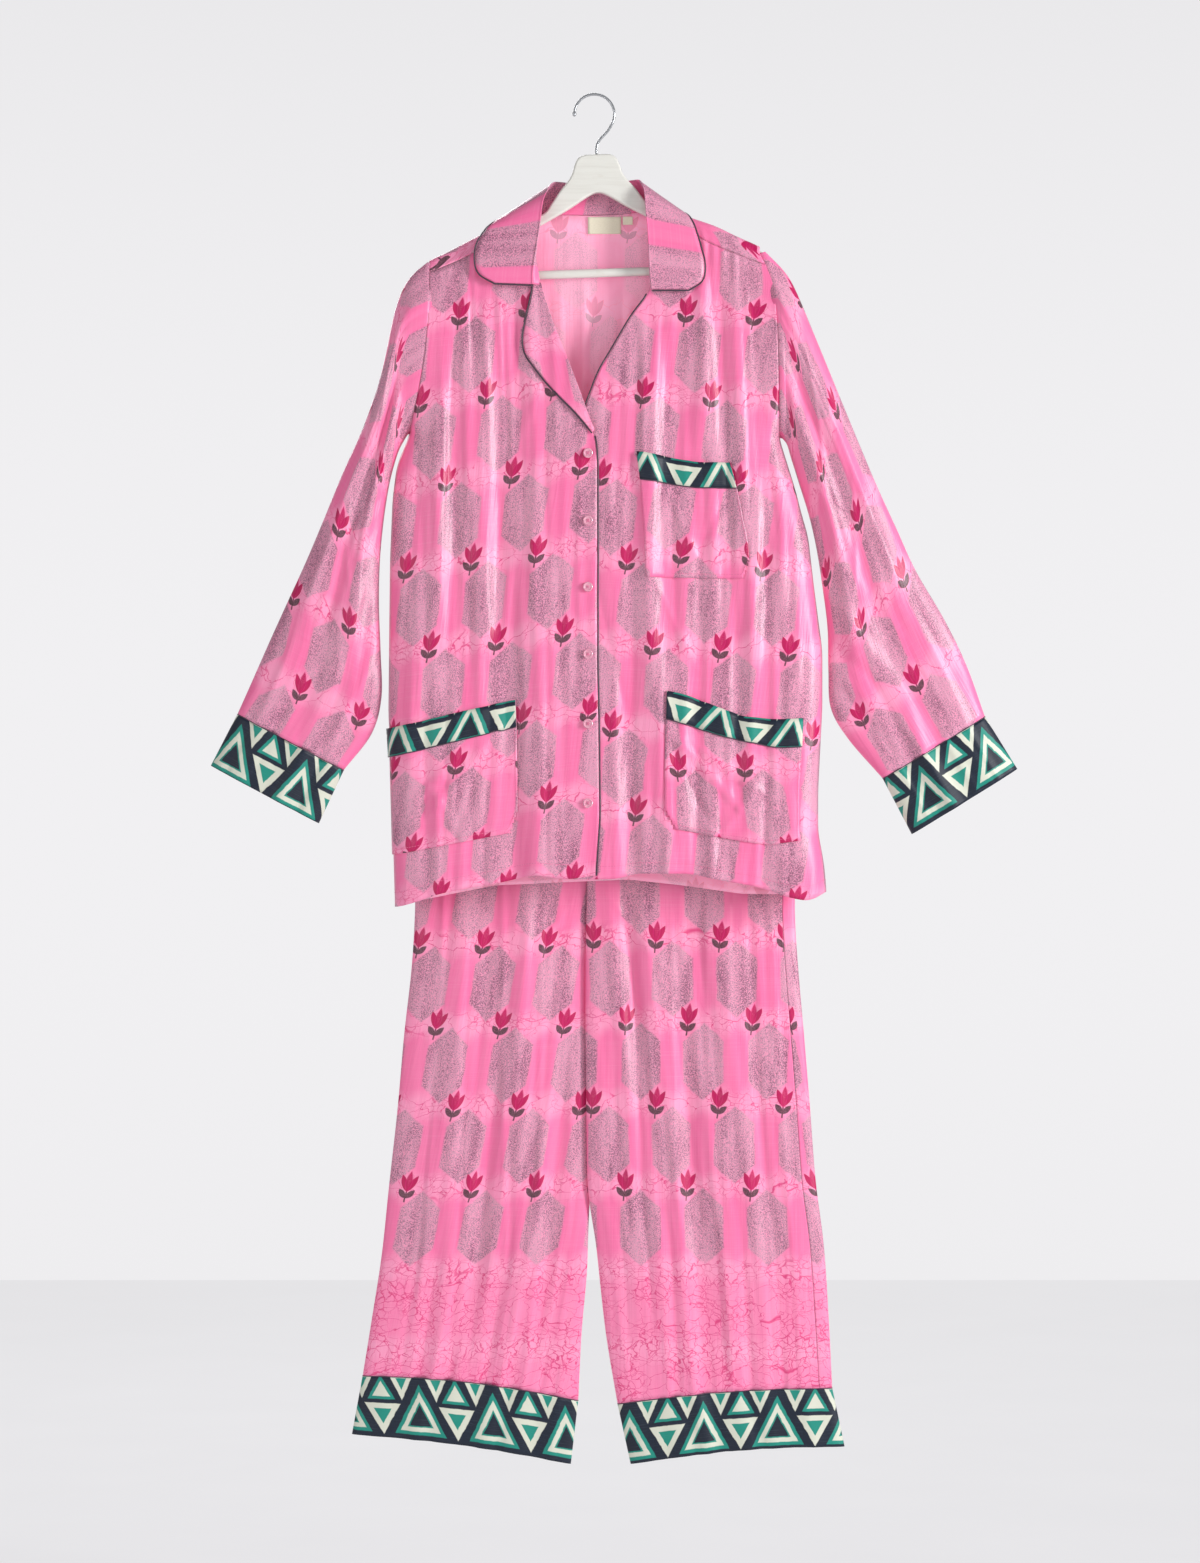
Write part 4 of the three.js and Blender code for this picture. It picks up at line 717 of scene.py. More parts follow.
class Surface:
    """A material of one Principled shader, with fields of its places and layers of colour."""

    def __init__(self, name, **constants):
        self.material = bpy.data.materials.new(name)
        self.material.use_nodes = True
        self.tree = self.material.node_tree
        self.shader = self.tree.nodes["Principled BSDF"]
        for key, value in constants.items():
            self.shader.inputs[key.replace("_", " ")].default_value = value

    def cloth_places(self):
        """Places on the flat cloth: across and up, in millimetres."""
        node = self.tree.nodes.new("ShaderNodeUVMap")
        node.uv_map = "cloth"
        split = self.tree.nodes.new("ShaderNodeSeparateXYZ")
        self.tree.links.new(node.outputs["UV"], split.inputs[0])
        return [Field(self.tree, split.outputs[k]) * 1000 for k in range(2)]

    def solid_places(self):
        """Places in the garment's own frame, in millimetres."""
        node = self.tree.nodes.new("ShaderNodeTexCoord")
        split = self.tree.nodes.new("ShaderNodeSeparateXYZ")
        self.tree.links.new(node.outputs["Object"], split.inputs[0])
        return [Field(self.tree, split.outputs[k]) * 1000 for k in range(3)]

    def joined(self, *fields):
        node = self.tree.nodes.new("ShaderNodeCombineXYZ")
        for slot, field in zip(node.inputs, fields):
            self.tree.links.new(field.socket, slot)
        return node.outputs[0]

    def noise(self, *fields, detail=2.0):
        """Smooth noise from 0 to 1 with features about 1 across in the given fields."""
        node = self.tree.nodes.new("ShaderNodeTexNoise")
        node.inputs["Scale"].default_value = 1.0
        node.inputs["Detail"].default_value = detail
        self.tree.links.new(self.joined(*fields), node.inputs["Vector"])
        return Field(self.tree, node.outputs[0])

    def cracks(self, *fields):
        """Distance to the nearest edge between cells about 1 across."""
        node = self.tree.nodes.new("ShaderNodeTexVoronoi")
        node.feature = "DISTANCE_TO_EDGE"
        node.inputs["Scale"].default_value = 1.0
        self.tree.links.new(self.joined(*fields), node.inputs["Vector"])
        return Field(self.tree, node.outputs["Distance"])

    def layer(self, under, over, share):
        """One colour over another. Each is a colour or a socket, and share is a field."""
        node = self.tree.nodes.new("ShaderNodeMix")
        node.data_type = "RGBA"
        self.tree.links.new(share.socket, node.inputs["Factor"])
        for slot, colour in ((node.inputs[6], under), (node.inputs[7], over)):
            if isinstance(colour, tuple):
                slot.default_value = colour
            else:
                self.tree.links.new(colour, slot)
        return node.outputs[2]

    def finish(self, colour, height, roughness=None, strength=0.3):
        """Connects the colour, a bump height in millimetres and, if it varies, the roughness."""
        self.tree.links.new(colour, self.shader.inputs["Base Color"])
        if roughness is not None:
            self.tree.links.new(roughness.socket, self.shader.inputs["Roughness"])
        bump = self.tree.nodes.new("ShaderNodeBump")
        bump.inputs["Strength"].default_value = strength
        bump.inputs["Distance"].default_value = MM
        self.tree.links.new(height.socket, bump.inputs["Height"])
        self.tree.links.new(bump.outputs["Normal"], self.shader.inputs["Normal"])
        return self.material


# The print: a half-drop lattice of tall hexagons, with a tulip at each meeting of their tips
LATTICE = 80
ROW = 100
HEXAGON = {"half": 25, "tall": 46.5, "slope": 0.88}
GROUND_PINK = linear(251, 140, 182)
PALE_PINK = linear(254, 174, 206)
# The reverse of the cloth: paler than its face, and lightened further as painted light coming through the
# thin cloth
REVERSE_AND_LIT_PINK = linear(255, 200, 220)
STRONG_PINK = linear(244, 100, 158)
GREY_MAUVE = linear(212, 156, 178)
GREY_SPECK = linear(104, 70, 92)
CRACKLE_PINK = linear(226, 62, 126)
TULIP_CRIMSON = linear(188, 8, 86)
TULIP_LIGHT = linear(220, 36, 120)
LEAF_BROWN = linear(66, 44, 50)
# The tulip's petals and leaves: centre across and up, lean outwards, half width and half height
MIDDLE_PETAL = (0, 7.4, 0, 3.9, 12.8)
SIDE_PETAL = (5.0, 5.2, 25, 3.7, 11.4)
LEAF = (4.9, -8.0, 42, 3.5, 7.4)
STEM = {"half": 0.9, "foot": -18.5, "top": -3}
TULIP_LEAN = math.radians(6)
SATIN = {"Roughness": 0.36, "Sheen_Weight": 0.14, "Sheen_Roughness": 0.4, "Specular_IOR_Level": 0.45,
         "Sheen_Tint": (1.0, 0.82, 0.9, 1)}
WEAVE = 0.55
# Painted glow: the inside of the back emits a little pink light, standing in for light coming through the
# thin cloth
PAINTED_GLOW_THROUGH = {"Emission_Color": linear(255, 150, 192), "Emission_Strength": 0.16}


def petal(across, up, half_wide, half_tall):
    """Under 1 inside a lens that is pointed above and below."""
    scaled = up * (1 / half_tall)
    return abs(across) * (1 / half_wide) + scaled * scaled


def leaning(across, up, centre_x, centre_y, lean, half_wide, half_tall):
    angle = math.radians(lean)
    x, y = across - centre_x, up - centre_y
    along = x * math.sin(angle) + y * math.cos(angle)
    return petal(x * math.cos(angle) - y * math.sin(angle), along, half_wide, half_tall)


def hexagon(across, up):
    sides = across - HEXAGON["half"]
    tips = (up + across * HEXAGON["slope"] - HEXAGON["tall"]) * (1 / math.hypot(1, HEXAGON["slope"]))
    return sides.most(tips)


def weave_height(surface, x, y):
    """Fine threads both ways, with slubs along the weft."""
    turn = 2 * math.pi / WEAVE
    threads = (x * turn).math("SINE") * (y * turn).math("SINE")
    slubs = surface.noise(x * 0.02, y * 0.9, detail=3)
    return threads * 0.02 + slubs * 0.2


def lattice(x, y, drop, across):
    """Places from the nearest point of a lattice whose rows are each shifted by half a pitch."""
    row = (y - drop + ROW / 2).math("DIVIDE", ROW).math("FLOOR")
    up = y - drop - row * ROW
    odd = row.math("FLOORED_MODULO", 2)
    return (x - across - odd * (LATTICE / 2)).wrapped(LATTICE), up


def tulip(surface, colour, across, up, shown, shade):
    """Lays a tulip over a colour: two leaves, a stem and three pointed petals. Where shown is given,
    it says how much of the tulip there is."""
    turned = across * math.cos(TULIP_LEAN) - up * math.sin(TULIP_LEAN)
    up = across * math.sin(TULIP_LEAN) + up * math.cos(TULIP_LEAN)
    half = abs(turned)
    leaves = leaning(half, up, *LEAF).below(1, 0.2)
    stem = half.below(STEM["half"], 0.5) * up.below(STEM["top"], 0.5) * (up * -1).below(-STEM["foot"], 0.5)
    sides = leaning(half, up, *SIDE_PETAL)
    middle = leaning(turned, up, *MIDDLE_PETAL)
    layers = [
        (LEAF_BROWN, leaves.most(stem) * (shade * 0.5 + 0.65)),
        (TULIP_CRIMSON, sides.below(1, 0.14)),
        (TULIP_LIGHT, middle.below(1.12, 0.14) * 0.5),
        (TULIP_CRIMSON, middle.below(0.92, 0.2) * (shade * 0.6 + 0.6)),
    ]
    for paint, share in layers:
        colour = surface.layer(colour, paint, share * shown if shown else share)
    return colour


def print_material(name, plain_below=None, tulips=True, reverse=False):
    """The printed cloth. Under plain_below, measured from the layout's hexagon, only crackle is left."""
    # On the reverse the cloth glows: painted light in place of light coming through the thin back
    surface = Surface(name, **SATIN, **(PAINTED_GLOW_THROUGH if reverse else {}))
    x, y = surface.cloth_places()
    brush = surface.noise(x * 0.09, y * 0.09, detail=3)
    drift = surface.noise(x * 0.02, y * 0.02 + 7.0)
    hand_x = x + (brush - 0.5) * 1.6 + (drift - 0.5) * 6
    hand_y = y + (brush - 0.5) * 1.6 + (drift - 0.5) * 7
    across, up = lattice(hand_x, hand_y, 0, 0)
    across, up = abs(across), abs(up)
    grey = hexagon(across, up).below(0, 2.4)
    strong = hexagon(across * -1 + LATTICE / 2, up).below(-3, 12)
    tips = (up * -1).below(-36, 14)
    # Painted shade and sheen of the silk's folds: tall streaks of deeper pink over the ground, which also
    # set how strongly the print's strong pink shows
    painted_fold_streak = surface.noise(x * 0.07, y * 0.006, detail=3)
    patches = surface.noise(x * 0.017 + 3.0, y * 0.017, detail=1)
    colour = surface.layer(GROUND_PINK, STRONG_PINK, (painted_fold_streak - 0.44) * 1.2)
    colour = surface.layer(colour, PALE_PINK, tips * (drift * -1 + 0.95) * 0.8)
    veins = surface.cracks(x * 0.042 + brush * 1.1, y * 0.058 + drift * 2.6).below(0.013, 0.016)
    fine = surface.cracks(x * 0.1 + brush * 1.7, y * 0.11 + drift * 3.4).below(0.03, 0.035)
    crackle = veins * tips * patches.below(0.68, 0.16)
    crackle = crackle.most(fine * tips * (patches * -1 + 1).below(0.5, 0.1) * 0.8)
    if plain_below is not None:
        plain = (y + (drift - 0.5) * 30).below(plain_below, 16)
        crackle = crackle.most(veins.most(fine * patches.below(0.52, 0.14)) * plain)
        printed = plain * -1 + 1
        grey, strong = grey * printed, strong * printed
    colour = surface.layer(colour, CRACKLE_PINK, crackle * 0.95)
    colour = surface.layer(colour, STRONG_PINK, strong * (painted_fold_streak * 0.5 + 0.3))
    speck = surface.noise(*[place * 0.8 for place in surface.solid_places()], detail=3)
    shading = surface.noise(x * 0.05, y * 0.012 + 9.0, detail=2)
    heather = surface.layer(GREY_MAUVE, GREY_SPECK, (speck + shading * 0.5 - 0.7) * 4.2)
    heather = surface.layer(heather, GROUND_PINK, speck.below(0.42, 0.12) * 0.6)
    colour = surface.layer(colour, heather, grey * 0.86)
    slub = surface.noise(x * 0.015, y * 1.1 + 5.0, detail=3)
    colour = surface.layer(colour, PALE_PINK, (slub - 0.5) * 0.7)
    if tulips:
        across, up = lattice(x + (brush - 0.5) * 1.2, y + (drift - 0.5) * 3, ROW / 2, -LATTICE / 4)
        shown = None if plain_below is None else y.below(plain_below + LATTICE / 2, 1) * -1 + 1
        colour = tulip(surface, colour, across, up, shown, speck)
    if reverse:
        # Inside face: the paler reverse of the print, partly painted light coming through the cloth
        colour = surface.layer(colour, REVERSE_AND_LIT_PINK, brush * 0.2 + 0.36)
    pleats = surface.noise(x * 0.12, y * 0.006 + 2.0, detail=3)
    creases = surface.noise(x * 0.42, y * 0.012 + 6.0, detail=2)
    return surface.finish(colour, weave_height(surface, x, y) + pleats * 1.8 + creases * 1.2)


# The bands: nested triangles in a repeat along a navy strip
BAND_PERIOD = 92
BAND_TALL = 72
BAND_SKEW = 0.2
BAND_NAVY = linear(6, 20, 40)
BAND_TEAL = linear(16, 138, 122)
BAND_CREAM = linear(214, 216, 200)
# Each row: centre, base height, half width, height, 1 for upright, then insets and their colours
BAND_TRIANGLES = [
    (57, 3, 32, 61, 1, ((0, BAND_TEAL), (4.2, BAND_CREAM), (9.5, BAND_TEAL), (11.2, BAND_NAVY))),
    (11, 39, 22, 38, -1, ((0, BAND_CREAM), (6.4, BAND_TEAL))),
    (12, 44, 17, 30, 1, ((0, BAND_TEAL), (3.6, BAND_CREAM))),
    (-13, 76, 15, 32, -1, ((0, BAND_CREAM), (5.2, BAND_TEAL))),
    (36, 76, 15, 32, -1, ((0, BAND_CREAM), (5.2, BAND_TEAL))),
]


def band_material(name):
    surface = Surface(name, Roughness=0.5, Sheen_Weight=0.12, Specular_IOR_Level=0.4)
    x, y = surface.cloth_places()
    brush = surface.noise(x * 0.12, y * 0.12, detail=3)
    hand_x = x + (brush - 0.5) * 2.2
    hand_y = y + BAND_TALL + (brush - 0.5) * 1.6
    sheared = hand_x - (hand_y - BAND_TALL / 2) * BAND_SKEW
    shade = surface.noise(x * 0.5, y * 0.5, detail=2)
    colour = surface.layer(BAND_NAVY, linear(16, 34, 60), (shade - 0.4) * 1.4)
    for centre, base, wide, tall, upright, insets in BAND_TRIANGLES:
        across = abs((sheared - centre).wrapped(BAND_PERIOD))
        up = (hand_y - base) * upright
        side = (across * tall + up * wide - wide * tall) * (1 / math.hypot(wide, tall))
        distance = side.most(up * -1)
        for inset, paint in insets:
            colour = surface.layer(colour, paint, distance.below(-inset, 0.7))
    thread = surface.noise(x * 0.03, y * 0.9, detail=3)
    colour = surface.layer(colour, linear(120, 140, 150), (thread - 0.55) * 0.5)
    return surface.finish(colour, weave_height(surface, x, y))


def piping_material():
    surface = Surface("piping_satin", Roughness=0.36, Sheen_Weight=0.3, Specular_IOR_Level=0.5)
    x, y, z = surface.solid_places()
    twist = ((x + y + z) * 2.4).math("SINE")
    shade = surface.noise(x * 0.1, y * 0.1, z * 0.1)
    colour = surface.layer(linear(74, 40, 58), linear(48, 44, 62), shade)
    return surface.finish(colour, twist * 0.08)


def thread_material():
    surface = Surface("sewing_thread", Roughness=0.45, Sheen_Weight=0.2)
    x, y, z = surface.solid_places()
    ply = ((x + y + z) * 6).math("SINE")
    shade = surface.noise(x * 0.3, y * 0.3, z * 0.3)
    colour = surface.layer(linear(236, 120, 164), linear(214, 92, 140), shade)
    return surface.finish(colour, ply * 0.05)


def wood_material():
    surface = Surface("painted_wood", Roughness=0.42, Coat_Weight=0.15, Coat_Roughness=0.3)
    x, y, z = surface.solid_places()
    grain = surface.noise(x * 0.02, y * 0.3, z * 0.25, detail=4)
    worn = surface.noise(x * 0.05, y * 0.2, z * 0.05, detail=2)
    colour = surface.layer(linear(228, 227, 220), linear(206, 203, 193), (grain - 0.45) * 1.2)
    colour = surface.layer(colour, linear(196, 186, 168), (worn - 0.66) * 2)
    return surface.finish(colour, grain * 0.4, roughness=worn * 0.2 + 0.32)


def chrome_material():
    surface = Surface("plated_wire", Metallic=0.7, Roughness=0.16)
    x, y, z = surface.solid_places()
    scuffs = surface.noise(x * 1.5, y * 1.5, z * 0.2, detail=3)
    colour = surface.layer(linear(176, 178, 182), linear(140, 142, 147), (scuffs - 0.5) * 1.4)
    return surface.finish(colour, scuffs * 0.1, roughness=scuffs * 0.25 + 0.06)


def plastic_material():
    surface = Surface("button_plastic", Roughness=0.22, Transmission_Weight=0.25, IOR=1.5, Coat_Weight=0.4)
    x, y, z = surface.solid_places()
    pearl = surface.noise(x * 0.18, y * 0.18, z * 0.5, detail=3)
    colour = surface.layer(linear(244, 160, 190), linear(255, 214, 226), (pearl - 0.35) * 1.8)
    return surface.finish(colour, pearl * 0.1)


def label_material():
    surface = Surface("label_tape", Roughness=0.62, Sheen_Weight=0.25)
    x, y = surface.cloth_places()
    ribs = (y * (2 * math.pi / 0.8)).math("SINE")
    shade = surface.noise(x * 0.4, y * 1.5, detail=2)
    colour = surface.layer(linear(238, 230, 206), linear(212, 203, 178), (shade - 0.4) * 1.1)
    return surface.finish(colour, ribs * 0.12 + shade * 0.1)


PRINT = print_material("print_cloth")
COLLAR_PRINT = print_material("print_cloth_collar", tulips=False)
# The inside of the back, with its painted glow of light through the cloth
REVERSE = print_material("print_cloth_reverse_glowing", reverse=True)
LEG_PRINT = print_material("print_cloth_legs", plain_below=-48)
BAND = band_material("band_cloth")
PIPING = piping_material()
WOOD = wood_material()
CHROME = chrome_material()
PLASTIC = plastic_material()
WOVEN = label_material()
THREAD = thread_material()


# Fronts, pockets and their bands
def shares_across(wide):
    return np.linspace(0, 1, round(wide / ACROSS_STEP) + 1)


POCKET_BAND_TOP = 46
POCKET_WIDE = 150
# Squares of the grid that the cut corner takes off
POCKET_CORNER = 4
FRONT_WIDTHS = {"left": 240, "right": 270}
# The print on each piece: the centre of one hexagon, how far its rows rise to the right and its
# columns lean to the right, in degrees, and the pitch along a row
LAYOUTS = {
    "top_front_left": {"x": -146, "z": -312, "rise": 6.5, "lean": 5.5, "pitch": 84},
    "top_front_right": {"x": 125, "z": -312, "rise": -2.5, "lean": 6, "pitch": 85},
    "top_back": {"x": -22, "z": -208, "rise": 0, "lean": 0, "pitch": 84},
    "lapel": {"x": -66, "z": -248, "rise": 5, "lean": -12, "pitch": 86},
    "pocket_chest": {"x": 91, "z": -500, "rise": -2, "lean": 10, "pitch": 86},
    "pocket_lower_right": {"x": 121, "z": -855, "rise": 0, "lean": -6, "pitch": 86},
    "pocket_lower_left": {"x": -150, "z": -850, "rise": 4, "lean": 8, "pitch": 86},
    "left": {"x": -58, "z": -1361, "rise": 0.5, "lean": 10.5, "pitch": 80},
    "right": {"x": 54, "z": -1361, "rise": 0, "lean": 0, "pitch": 80},
}
fronts = {}
trimmed = {}
seams = []
for side, wide in FRONT_WIDTHS.items():
    guides = guide_values(side, 0, len(FRONTS[side]["guides"]) - 1)
    fronts[side] = front_rows(side, guides, shares_across(wide))
    name = f"top_front_{side}"
    cloth(name, fronts[side], printed_cloth(fronts[side], LAYOUTS[name]), PRINT, [name])
    seams.append(seam_line(fronts[side], -1 - STITCH["hem"], slice(None)))

for pocket in POCKETS:
    side, guide, name = pocket["side"], pocket["guide"], pocket["name"]
    shares = mix(pocket["from"], pocket["to"], shares_across(POCKET_WIDE))
    rows = front_rows(side, guide_values(side, guide, guide + 2), shares)
    rows = rows + normals_of(rows) * LAYER
    tall, wide = rows.shape[:2]
    down, along = np.meshgrid(np.arange(tall - 1)[::-1], np.arange(wide - 1), indexing="ij")
    inner = along if pocket["corner"] == "from" else wide - 2 - along
    keep = inner + down >= POCKET_CORNER
    cloth(name, rows, printed_cloth(rows, LAYOUTS[name]), PRINT, [name], keep=keep)
    inset, turn, start = STITCH["inset"], STITCH["corner"], STITCH["start"]
    side_rows = tall - turn - start
    down = [*range(start, tall - turn), *[tall - 1 - inset] * (wide - 2 * turn)]
    along = [*[inset] * side_rows, *range(turn, wide - turn), *[wide - 1 - inset] * side_rows]
    seams.append(seam_line(rows, [*down, *range(tall - turn, start, -1)], along))
    name = f"{name}_band"
    rows = front_rows(side, guide_values(side, guide, guide + 1), shares)
    rows = rows + normals_of(rows) * LAYER * 2
    places = flat_cloth(rows) + (pocket["shift"], POCKET_BAND_TOP - BAND_TALL)
    cloth(name, rows, places, BAND, [name])
    trimmed[name] = rows


# Columns of the back at each shoulder and at the neck, and rows over the shoulder
BACK_COLUMNS = (46, 50)
TURN_ROWS = 13
NECKLINE_DROP = 0.3
SEAM_RISE = 0.8


# Back, up from the hem and over each shoulder to the seam on its front
def back_x(ends):
    left, neck_left, neck_right, right = ends
    shoulder, neck = BACK_COLUMNS
    parts = [np.linspace(left, neck_left, shoulder, endpoint=False),
             np.linspace(neck_left, neck_right, neck, endpoint=False),
             np.linspace(neck_right, right, shoulder + 1)]
    return np.concatenate(parts)


NECK_COLUMNS = slice(BACK_COLUMNS[0], sum(BACK_COLUMNS))
back_rows = []
for n, line in enumerate(GUIDES_BACK):
    above = GUIDES_BACK[n + 1] if n + 1 < len(GUIDES_BACK) else None
    tall = (above[0][1] if above else SHOULDER_LINE[0][1]) - line[0][1]
    count = round(tall / DOWN_STEP)
    for k in range(count):
        ends = [line[0][0], *NECK_HALF, line[-1][0]]
        x = back_x(ends)
        for _ in range(2):
            shoulder = line_at(SHOULDER_LINE, x) - CLOTH / 2 - SHOULDER_ROUND
            neckline = line_at(BACK_NECK, x) - NECKLINE_DROP
            in_neck = (x > NECK_HALF[0]) & (x < NECK_HALF[1])
            top = line_at(above, x) if above else np.where(in_neck, neckline, shoulder)
            z = mix(line_at(line, x), top, k / count)
            x = back_x([at_height(TOP_END["left"], z[0]), *NECK_HALF, at_height(TOP_END["right"], z[-1])])
        back_rows.append(back_points(x, z))
first_shoulder_row = len(back_rows)
armhole_tops = (TOP_END["left"][0][1], TOP_END["right"][0][1])
for turn in np.linspace(-90, 90, TURN_ROWS):
    angle = math.radians(turn)
    forward = (turn + 90) / 180
    ends = [armhole_tops[0], mix(NECK_HALF[0], NECK_EDGE[0], forward),
            mix(NECK_HALF[1], NECK_EDGE[1], forward), armhole_tops[1]]
    x = back_x(ends)
    z = line_at(SHOULDER_LINE, x) - CLOTH / 2 - SHOULDER_ROUND * (1 - math.cos(angle))
    y = np.full_like(x, -SHOULDER_ROUND * math.sin(angle))
    row = np.stack([x, y, z], -1)
    neck_row = back_points(x, line_at(BACK_NECK, x) - NECKLINE_DROP)
    row[NECK_COLUMNS] = neck_row[NECK_COLUMNS]
    back_rows.append(row)
x = back_x([SEAM_LEFT[0][0], NECK_EDGE[0], NECK_EDGE[1], SEAM_RIGHT[-1][0]])
seam = front_points(x, np.where(x < 0, line_at(SEAM_LEFT, x), line_at(SEAM_RIGHT, x)) + SEAM_RISE)
for share in (0.33, 0.67, 1):
    back_rows.append(mix(back_rows[first_shoulder_row + TURN_ROWS - 1], seam, share))
back = np.array(back_rows)
keep = np.ones((back.shape[0] - 1, back.shape[1] - 1), bool)
keep[first_shoulder_row:, NECK_COLUMNS] = False
places = printed_cloth(back, LAYOUTS["top_back"], over=True)
seams.append(seam_line(back, STITCH["hem"], slice(None)))
cloth("top_back", back, places, PRINT, ["top_back"], keep=keep, reverse=REVERSE)


# Tubes: sleeves, cuffs, legs, borders and the waistband
def ring(row, angles, middle=0.0):
    """A ring by its outer and inner ends. The angle is 0 at the outer end and below 0 in front."""
    outer_x, outer_z, inner_x, inner_z, depth, openness, bow = (*row, 0, 0)[:7]
    share = (1 - np.cos(angles)) / 2
    lens = np.abs(np.sin(angles))
    half = np.sqrt(1 - (1 - share) ** 2)
    y = middle + np.sign(np.sin(angles)) * depth * mix(lens, half, openness)
    z = mix(outer_z, inner_z, share) + 4 * share * (1 - share) * bow
    return np.stack([mix(outer_x, inner_x, share), y, z], -1)


def tube(rings, count, angles, downs, front, back):
    """Smooth rows through rings, with the folds of the two faces laid on."""
    rows = curve(rings, count)
    down = np.interp(np.linspace(0, 1, count), np.linspace(0, 1, len(downs)), downs)[:, None]
    share = (1 - np.cos(angles)) / 2
    free = smooth(5 * np.minimum(share, 1 - share), 0, 1)
    folds, creases = front
    ahead = fold_height(folds, share, down) + fold_height(creases, share, down, sharp=True)
    folds, creases = back
    behind = fold_height(folds, share, down) + fold_height(creases, share, down, sharp=True)
    wide = np.ptp(rows[..., 0], axis=1)[:, None]
    fine = ripple_height(share * wide, down * TUBE_LONG, wide[0, 0]) * smooth(down, 0.02, 0.15)
    rows[..., 1] += (np.where(angles < 0, -ahead, behind) + np.where(angles < 0, -fine, fine)) * free
    return rows


def round_angles(count):
    return np.arange(count) * 2 * math.pi / count - math.pi


# The legs' inner edges pass a little in front of and behind each other, above where they part
INNER_LAP = {"across": 3.6, "back": 4.0, "from": 0.8, "top": (-930, -890), "foot": (-1390, -1300)}


def inner_lap(side, rows, angles):
    share = (1 - np.cos(angles)) / 2
    amount = smooth(share, INNER_LAP["from"], 1) * smooth(rows[..., 2], *INNER_LAP["foot"])
    amount = amount * (1 - smooth(rows[..., 2], *INNER_LAP["top"]))
    out = 1 if side == "left" else -1
    return np.stack([amount * out * INNER_LAP["across"], amount * out * INNER_LAP["back"], 0 * amount], -1)


SLEEVE_TUCK = {"across": 4.0, "depth": 0.86, "down": 2.0}
SLEEVE_HEAD_DROP = {"left": 6.0, "right": 8.5}
SLEEVE_SIDES = 128
SLEEVE_ROWS = 120
BAND_ROWS = 20
CUFF_GAP = 0.39
for side, table in SLEEVES.items():
    out = -1 if side == "left" else 1
    angles = round_angles(SLEEVE_SIDES)
    share = (1 - np.cos(angles)) / 2
    z = mix(TOP_END[side][0][0] - SLEEVE_HEAD_DROP[side], UNDERARM[side] - 1.5, share)
    x = at_height(TOP_END[side], z) + out * SLEEVE_GAP[side]
    armhole = np.stack([x, np.sign(np.sin(angles)) * armhole_depth(side, z), z], -1)
    rings = np.array([armhole] + [ring(row, angles) for row in table])
    downs = np.arange(len(rings)) / len(table)
    front, back_face = (SLEEVE_FOLDS, SLEEVE_CREASES), (SLEEVE_BACK_FOLDS, SLEEVE_BACK_CREASES)
    rows = tube(rings, SLEEVE_ROWS, angles, downs, front, back_face)
    tuck = rows[:1] * (1, SLEEVE_TUCK["depth"], 1) - (out * (SLEEVE_GAP[side] + SLEEVE_TUCK["across"]), 0, 0)
    tuck[..., 2] += np.cos(angles) * -SLEEVE_TUCK["down"]
    rows = np.concatenate([tuck, rows])
    name = f"sleeve_{side}"
    cloth(name, rows, flat_cloth(rows, wraps=True), PRINT, [name], wraps=True)
    end, foot = np.array(table[-1], float), np.array(CUFF_FEET[side], float)
    start = CUFF_GAP / math.dist(end[:2], foot[:2])
    rings = [ring(mix(end, foot, share), angles) for share in (start, 0.5, 1)]
    rows = tube(rings, BAND_ROWS, angles, [1, 1], front, back_face)
    name = f"cuff_{side}"
    cloth(name, rows, flat_cloth(rows, wraps=True), BAND, [name], wraps=True)
    trimmed[name] = rows

for side, table in LEGS.items():
    seam_at = SIDE_SEAM[side]
    trim = SEAM_TRIM / 8 if seam_at else SEAM_TRIM
    ranges = {
        "front": np.linspace(-math.pi + SEAM_TRIM, -seam_at - trim, LEG_COLUMNS),
        "back": np.linspace(-seam_at + trim, math.pi - SEAM_TRIM, LEG_COLUMNS),
    }
    downs = np.arange(len(table)) / (len(table) - 1)
    front, back_face = (LEG_FOLDS[side], LEG_CREASES[side]), (LEG_BACK_FOLDS[side], LEG_BACK_CREASES)
    for face, angles in ranges.items():
        rings = [ring(row, angles, TROUSER_Y) for row in table]
        rows = tube(rings, LEG_ROWS, angles, downs, front, back_face)
        rows += inner_lap(side, rows, angles)
        name = f"trouser_{face}_{side}"
        cloth(name, rows, printed_cloth(rows, LAYOUTS[side]), LEG_PRINT, [name])
    angles = round_angles(BORDER_SIDES)
    end, foot = np.array(table[-1], float), np.array(BORDER_FEET[side], float)
    start = BORDER_GAP / (end[1] - foot[1])
    rings = [ring(mix(end, foot, share), angles, TROUSER_Y) for share in (start, 0.5, 1)]
    rows = tube(rings, BAND_ROWS, angles, [1, 1], front, back_face)
    name = f"trouser_border_{side}"
    cloth(name, rows, flat_cloth(rows, wraps=True), BAND, [name], wraps=True)
    trimmed[name] = rows

angles = round_angles(WAISTBAND["sides"])
rows = []
for z in np.linspace(WAISTBAND["top"], WAISTBAND["foot"], WAISTBAND["rows"]):
    row = ring((LEGS["left"][0][0], z, LEGS["right"][0][0], z, WAISTBAND["depth"]), angles, TROUSER_Y)
    row[:, 1] += WAISTBAND["wave"] * np.cos(WAISTBAND["waves"] * angles)
    rows.append(row)
rows = np.array(rows)
cloth("waistband", rows, flat_cloth(rows, wraps=True), PRINT, ["waistband"], wraps=True)

